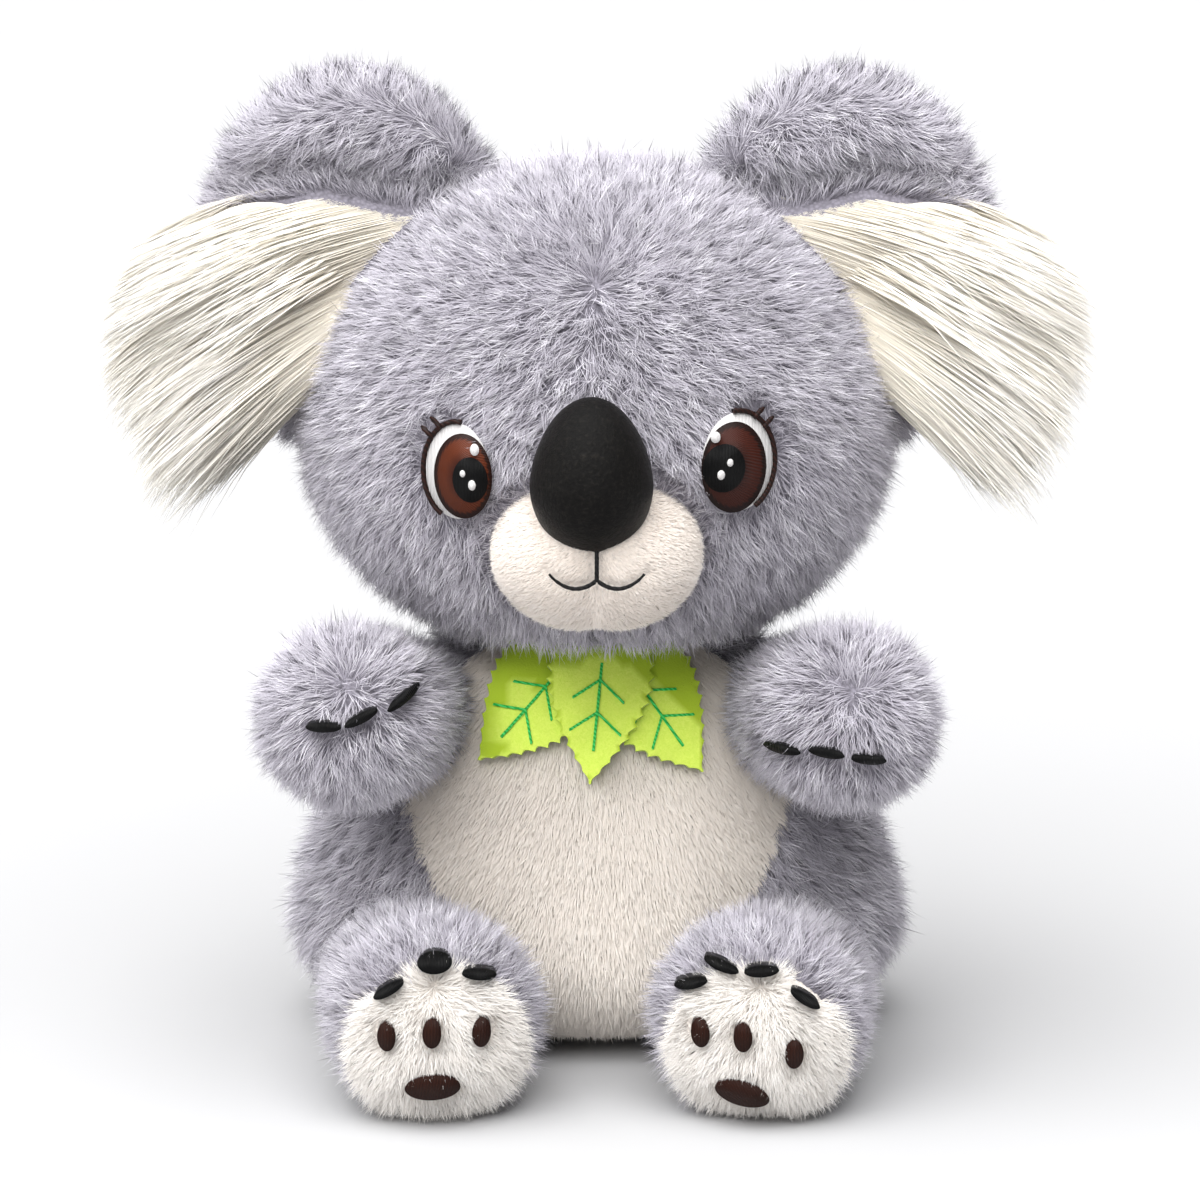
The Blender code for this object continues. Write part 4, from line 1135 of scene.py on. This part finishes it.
def makeLeg(side):
    form, limb = legForm(side), f"leg_{side}"
    middle, radius = (sides[side] * sole["middle"][0], sole["middle"][1]), sole["radius"]

    def soleRing(spots):
        # 1 at the sole's edge
        return np.hypot((spots[:, 0] - middle[0]) / radius, (spots[:, 2] - middle[1]) / radius)

    def inside(spot):
        away = math.hypot((spot.x - middle[0]) / radius, (spot.z - middle[1]) / radius)
        return away < 1.0 and spot.y < sole["front"]

    bm = shapedBall(form, -greyPile["inset"], 5)
    cutFlat(bm, 0.0005, above=False)
    points, normals = scatter(bm, greyPile["perMm2"] * 1.1)
    replaced = (f"leg_skin_{side}", f"leg_fill_{side}")
    finishPiece(f"leg_plush_{side}", bm, limb, looks["shadowGreyBacking"], replaced)
    keep = ~((soleRing(points) < 0.96) & (points[:, 1] < sole["front"])) & (points[:, 2] > 0.0015)
    keep &= depthIn(torsoForm, points) < 0.010
    points, normals = points[keep], normals[keep]
    comb = along(points - np.array((middle[0], -0.096, middle[1])), normals)
    growPile(
        f"leg_pile_{side}", limb, greyPile, points, normals, comb, np.ones(len(points))
    )

    bm, face = cappedPatch(form, -solePile["inset"], inside, sole["thickness"])
    points, normals = scatter(face, solePile["perMm2"])
    face.free()
    skin = finishPiece(f"sole_plush_{side}", bm, limb, looks["whiteBacking"], (f"sole_{side}",))
    free = nearMarks(points, side, ["foot_claw", "toe_pad", "sole_pad"])
    keep = (free > 0.01) & (points[:, 2] > 0.001)
    points, normals, free = points[keep], normals[keep], free[keep]
    flow = points - np.array((middle[0], -0.09, middle[1] + 0.012))
    flow[:, 2] -= 0.012  # combed down over the pads
    comb = along(flow, normals)
    reach = 0.55 + 0.42 * free + 0.12 * smoothStep(soleRing(points), 0.6, 0.95)
    growPile(f"sole_pile_{side}", limb, solePile, points, normals, comb, reach)


# ears
tuftPile = {
    **usualPile, "strand": "long", "material": looks["tuft"], "length": 0.044, "width": 0.00050,
    "jitter": 0.024, "wisp": 0.007, "pull": 0.10, "perMm2": 5.6, "softness": 1.0, "roll": 0.12, "vary": 0.30,
    "facing": 0.2, "locks": 3.0, "lift": 0.9, "edge": 0.157,
}
rimPile = {**greyPile, "softness": 0.95, "tousle": 0.26, "perMm2": 3.0, "lift": 0.55}
crease = {"width": 0.0065, "depth": 0.75, "end": 0.97, "fade": 0.12}
tuftPad = {"inset": 0.0125, "flat": 0.55, "forward": 0.30, "rise": 0.010, "behind": 0.004}


def makeEar(side):
    s, form, limb = sides[side], earForm(side), f"ear_{side}"
    middle = form["centre"]
    bm = shapedBall(form, -greyPile["inset"], 5)
    for v in bm.verts:  # a deep crease under the thick rolled rim
        ring = math.hypot((v.co.x - middle[0]) / form["halfWidth"], (v.co.z - middle[2]) / form["up"])
        if v.co.y < middle[1]:
            near = math.exp(-(((tuftEdge(v.co.x * s) - v.co.z) / crease["width"]) ** 2))
            near *= max(0.0, min(1.0, (crease["end"] - ring) / crease["fade"]))
            v.co.y += (middle[1] - v.co.y) * crease["depth"] * near
    points, normals = scatter(bm, rimPile["perMm2"])
    hollow, hollowNormals = scatter(bm, tuftPile["perMm2"])
    mesh = carvedBy(f"ear_plush_{side}", bm, [headForm], -greyPile["inset"] + 0.0012)
    replaced = (f"ear_back_{side}",)
    meshPiece(f"ear_plush_{side}", mesh, limb, looks["shadowGreyBacking"], replaced)
    keep = (depthIn(headForm, points) < 0.006) & ~underTuft(points, side, 0.007)
    points, normals = points[keep], normals[keep]
    flow = points - np.array((s * 0.060, 0.012, 0.225))
    over = smoothStep(middle[1] - points[:, 1], 0.003, 0.009) * smoothStep(0.75 - normals[:, 2], 0, 0.5)
    over = over[:, None]  # the rim's front is combed down and out
    flow = unit(flow) * (1 - over) + np.array((s * 0.8, -0.2, -0.55)) * over
    comb = along(flow, normals)
    growPile(f"ear_pile_{side}", limb, rimPile, points, normals, comb, np.ones(len(points)))
    growTuft(side, hollow, hollowNormals)


def growTuft(side, hollow, hollowNormals):
    # long strands from a pad and from the ear's hollow, which fall outward over the ear
    s, pad, limb = sides[side], tuftForm(side), f"ear_{side}"
    middle = pad["centre"]
    bm = shapedBall(pad, -tuftPad["inset"], 5)
    for v in bm.verts:
        v.co.y *= tuftPad["flat"]  # the long pile gives the tuft its depth
        hang = min(1.0, max(0.0, (tuftPad["flat"] * middle[1] - v.co.y) / tuftPad["behind"]))
        v.co.y -= tuftPad["forward"] * hang * max(0.0, middle[2] + tuftPad["rise"] - v.co.z)
    points, normals = scatter(bm, tuftPile["perMm2"])
    mesh = carvedBy(f"ear_tuft_pad_{side}", bm, [headForm], -greyPile["inset"] + 0.0012)
    name, replaced = f"ear_tuft_pad_{side}", (f"ear_tuft_{side}",)
    meshPiece(name, mesh, limb, looks["creamBacking"], replaced)
    keep = underTuft(hollow, side, 0.003) & (depthIn(pad, hollow, -tuftPad["inset"] - 0.001) < 0.001)
    points, normals = np.vstack([points, hollow[keep]]), np.vstack([normals, hollowNormals[keep]])
    keep = (normals[:, 1] < 0.05) | (points[:, 1] < -0.004)
    keep &= (depthIn(headForm, points) < 0.002) & (points[:, 2] > 0.1985)
    points, normals = points[keep], normals[keep]
    out, rise = (points[:, 0] - middle[0]) * s / pad["halfWidth"], (points[:, 2] - middle[2]) / pad["up"]
    drop = np.radians(np.clip(31 - 20 * rise + 8 * out, 6, 60))  # strands fall more steeply lower down
    aim = np.stack([s * np.cos(drop), -0.14 - 0.10 * np.clip(-out, 0, 1), -np.sin(drop)], 1)
    aim = unit(aim + drift(points, 0.03, 8) * 0.03)
    into = np.minimum(dot(aim, normals), 0)
    aim = unit(aim - normals * (into - 0.03))  # over the pad, never into it
    aim[:, 1:] = np.minimum(aim[:, 1:], np.stack([np.full(len(aim), 0.05), -0.7 * np.sin(drop)], 1))
    keep = (aim[:, 0] * s > 0.3) & (normals[:, 2] < 0.6) & (into[:, 0] > -0.55)
    points, normals, aim, out, rise = (v[keep] for v in (points, normals, aim, out, rise))
    reach = np.clip(0.72 - 0.34 * out + 0.12 * rise, 0.36, 1.1)
    lock = ownThrow(nearestWisp(points, tuftPile["wisp"]))[:, 0]
    reach *= 1 + 0.30 * (dice.random(len(points)) < 0.14 + 0.5 * (lock > 0.8))  # a few long locks
    up = normals.copy()
    up[:, 2] += 1.2  # the tips bend down
    growPile(f"ear_tuft_pile_{side}", limb, tuftPile, points, unit(up), aim, reach, aim=aim)


def tuftEdge(out):
    # the height of the line under the rolled rim where the long pile starts
    return np.interp(out, (0.0575, 0.0800, 0.1100, 0.1250), (0.2620, 0.2675, 0.2610, 0.2400))


def underTuft(points, side, below):
    # the part of the ear's front that the long pile is sewn into
    form = earForm("right")
    middle = form["centre"]
    out = points[:, 0] * sides[side]
    low = np.interp(out, (0.0850, 0.1000, 0.1200), (0.2000, 0.2020, 0.2100))
    ring = np.hypot((out - middle[0]) / form["halfWidth"], (points[:, 2] - middle[2]) / form["up"])
    covered = (points[:, 2] < tuftEdge(out) - below) & (points[:, 2] > low)
    return covered & (points[:, 1] < middle[1]) & (ring < 0.93)


# leaves
leafForm = {
    "length": 0.045, "halfWidth": 0.0150, "teeth": 13, "tooth": 0.0017, "thickness": 0.0017, "bevel": 0.0003,
    "flat": (0.033, 0.045), "top": 0.1268, "grid": 0.0025, "thread": 0.00024,
}
leafTurns = {"middle": -6.0, "left": -42.0, "right": 36.0}


def alongLeaf(which, share, across):
    # across and up of a place on a leaf, by its share of the length and its distance from the rib
    turn = math.radians(leafTurns[which])
    root = (0.0026, 0.1333) if which == "middle" else (sides[which] * 0.005, 0.1268)
    down = share * leafForm["length"]
    x = root[0] + down * math.sin(turn) + across * math.cos(turn)
    return x, root[1] - down * math.cos(turn) + across * math.sin(turn)


def leafHalf(share):
    return leafForm["halfWidth"] * math.sin(math.pi * ((share + 0.20) / 1.20) ** 0.82)


def leafOutline(which):
    # points of the teeth with a shallow scoop between each pair
    edges = []
    for s in (1, -1):
        edge = []
        for tooth in range(leafForm["teeth"]):
            for n in range(6):
                share = (tooth + n / 6) / leafForm["teeth"]
                scoop = abs(2 * (n / 6) - 1) ** 1.6  # 1 at a point, 0 in the middle of a scoop
                out = leafHalf(share) - 0.0006 + leafForm["tooth"] * scoop * (1 - share**5)
                edge.append(alongLeaf(which, share, s * max(out, 0.0004)))
        edges.append(edge)
    return edges[0] + [alongLeaf(which, 1.0, 0)] + edges[1][::-1]


def veinPaths(which, front, lift):
    # a rib and two pairs of side veins, each of two threads
    lines = [(0.24, 0.78, None)] + [(share, 0, s) for share in (0.34, 0.54) for s in (1, -1)]
    paths = []
    for start, end, s in lines:
        for strand in (-0.00018, 0.00018):
            path = []
            for n in range(9):
                t = n / 8
                if s is None:
                    share, across = start + (end - start) * t, strand
                else:
                    share = start + 0.17 * 0.75 * t + strand / leafForm["length"]
                    across = s * 0.17 * leafForm["length"] * t
                x, z = alongLeaf(which, share, across)
                path.append((x, front(x, z) - lift - 0.0013 + 0.00012 * math.cos(t * math.pi * 8), z))
            paths.append(path)
    return paths


def makeLeaf(which, front):
    s = sides.get(which, 0)
    lift = 0.0003 + leafForm["thickness"] / 2 + (0.0028 if which == "middle" else 0)
    bm = bmesh.new()
    bm.faces.new([bm.verts.new((x, 0, z)) for x, z in leafOutline(which)])
    for n in range(-12, 13):
        at = (n * leafForm["grid"], 0, 0.105 + n * leafForm["grid"])
        for axis in ((1, 0, 0), (0, 0, 1)):
            bmesh.ops.bisect_plane(bm, geom=allOf(bm), plane_co=at, plane_no=axis)
    ends = [((0, 0, leafForm["top"]), (0, 0, 1))]
    if s:  # the side leaves meet at the middle
        ends.append(((s * 0.00015, 0, 0), (-s, 0, 0)))
    for at, axis in ends:
        bmesh.ops.bisect_plane(bm, geom=allOf(bm), plane_co=at, plane_no=axis, clear_outer=True)
    area = sum(f.calc_area() for f in bm.faces)
    for v in bm.verts:
        wave = 0.0006 * math.sin(v.co.x * 260 + leafTurns[which]) * math.sin(v.co.z * 190)
        v.co.y = front(v.co.x, v.co.z) - lift + wave * 0.6
    if sum(f.normal.y for f in bm.faces) > 0:
        bmesh.ops.reverse_faces(bm, faces=bm.faces)
    bmesh.ops.triangulate(bm, faces=bm.faces)
    mesh = applied(f"felt_leaf_{which}", bm, [
        ("SOLIDIFY", {"thickness": leafForm["thickness"], "offset": 0.0}),
        ("BEVEL", {"width": leafForm["bevel"], "segments": 2, "limit_method": "ANGLE", "angle_limit": 0.9}),
    ])
    markEdgeShade(mesh)
    felt = meshPiece(f"felt_leaf_{which}", mesh, "leaves", looks["felt"], (f"leaf_{which}",))
    felt.data.set_sharp_from_angle(angle=0.9)
    vein = tubeAlong(
        f"leaf_vein_stitching_{which}", veinPaths(which, front, lift), leafForm["thread"], "leaves",
        looks["greenThread"], (f"leaf_vein_{which}",),
    )


def markEdgeShade(mesh):
    # 1 on the cut edge of the felt and its bevel, for the darker green painted there as shade
    edge = mesh.attributes.new("edgeShade", "FLOAT", "POINT")
    rim = np.zeros(len(mesh.vertices), np.float32)
    for face in mesh.polygons:
        if abs(face.normal.y) < 0.85:
            for v in face.vertices:
                rim[v] = 1
    edge.data.foreach_set("value", rim)


# floor and light
def makeStage():
    bm = bmesh.new()
    bmesh.ops.create_grid(bm, x_segments=8, y_segments=8, size=60)
    mesh = meshOf("studio_floor", bm)
    mesh.materials.append(floorMaterial())
    linked("studio_floor", mesh)


lamps = {  # where each wide soft light comes from, its spread in degrees and its strength
    "key": ((-0.18, -0.36, 1.0), 78, 6.6),
    "fill": ((-0.35, -1.0, 0.25), 60, 0.75),
}


def makeLights():
    for name, (place, spread, strength) in lamps.items():
        data = bpy.data.lights.new(name, "SUN")
        data.angle = math.radians(spread)
        data.energy = strength
        ob = linked(name, data)
        ob.location = place
        ob.rotation_euler = Vector(place).to_track_quat("Z", "Y").to_euler()
    world = bpy.data.worlds.new("studio")
    world.use_nodes = True
    sky = world.node_tree.nodes["Background"]
    sky.inputs["Color"].default_value = toLinear("#F6F6FA")
    sky.inputs["Strength"].default_value = 0.12
    bpy.context.scene.world = world
    bpy.context.scene.view_settings.view_transform = "Standard"


placeCamera()
makeStage()
makeLights()
makeHead()
makeMuzzle()
makeNose()
makeMouth()
for side in sides:
    makeEye(side)
print("face made")
makeBody()
makeBelly()
for side in sides:
    makeArm(side)
    makeLeg(side)
    makeMarks(side)
    makeEar(side)
print("body and limbs made")
chest = surfaceOf(torsoForm, 6, -0.02)
for which in leafTurns:
    makeLeaf(which, chest)
for shapes in strandKinds.values():
    for ob in list(shapes.objects):
        bpy.data.objects.remove(ob)
faces = (face for ob in bpy.data.objects if ob.type == "MESH" for face in ob.data.polygons)
print("triangles", sum(len(face.vertices) - 2 for face in faces))
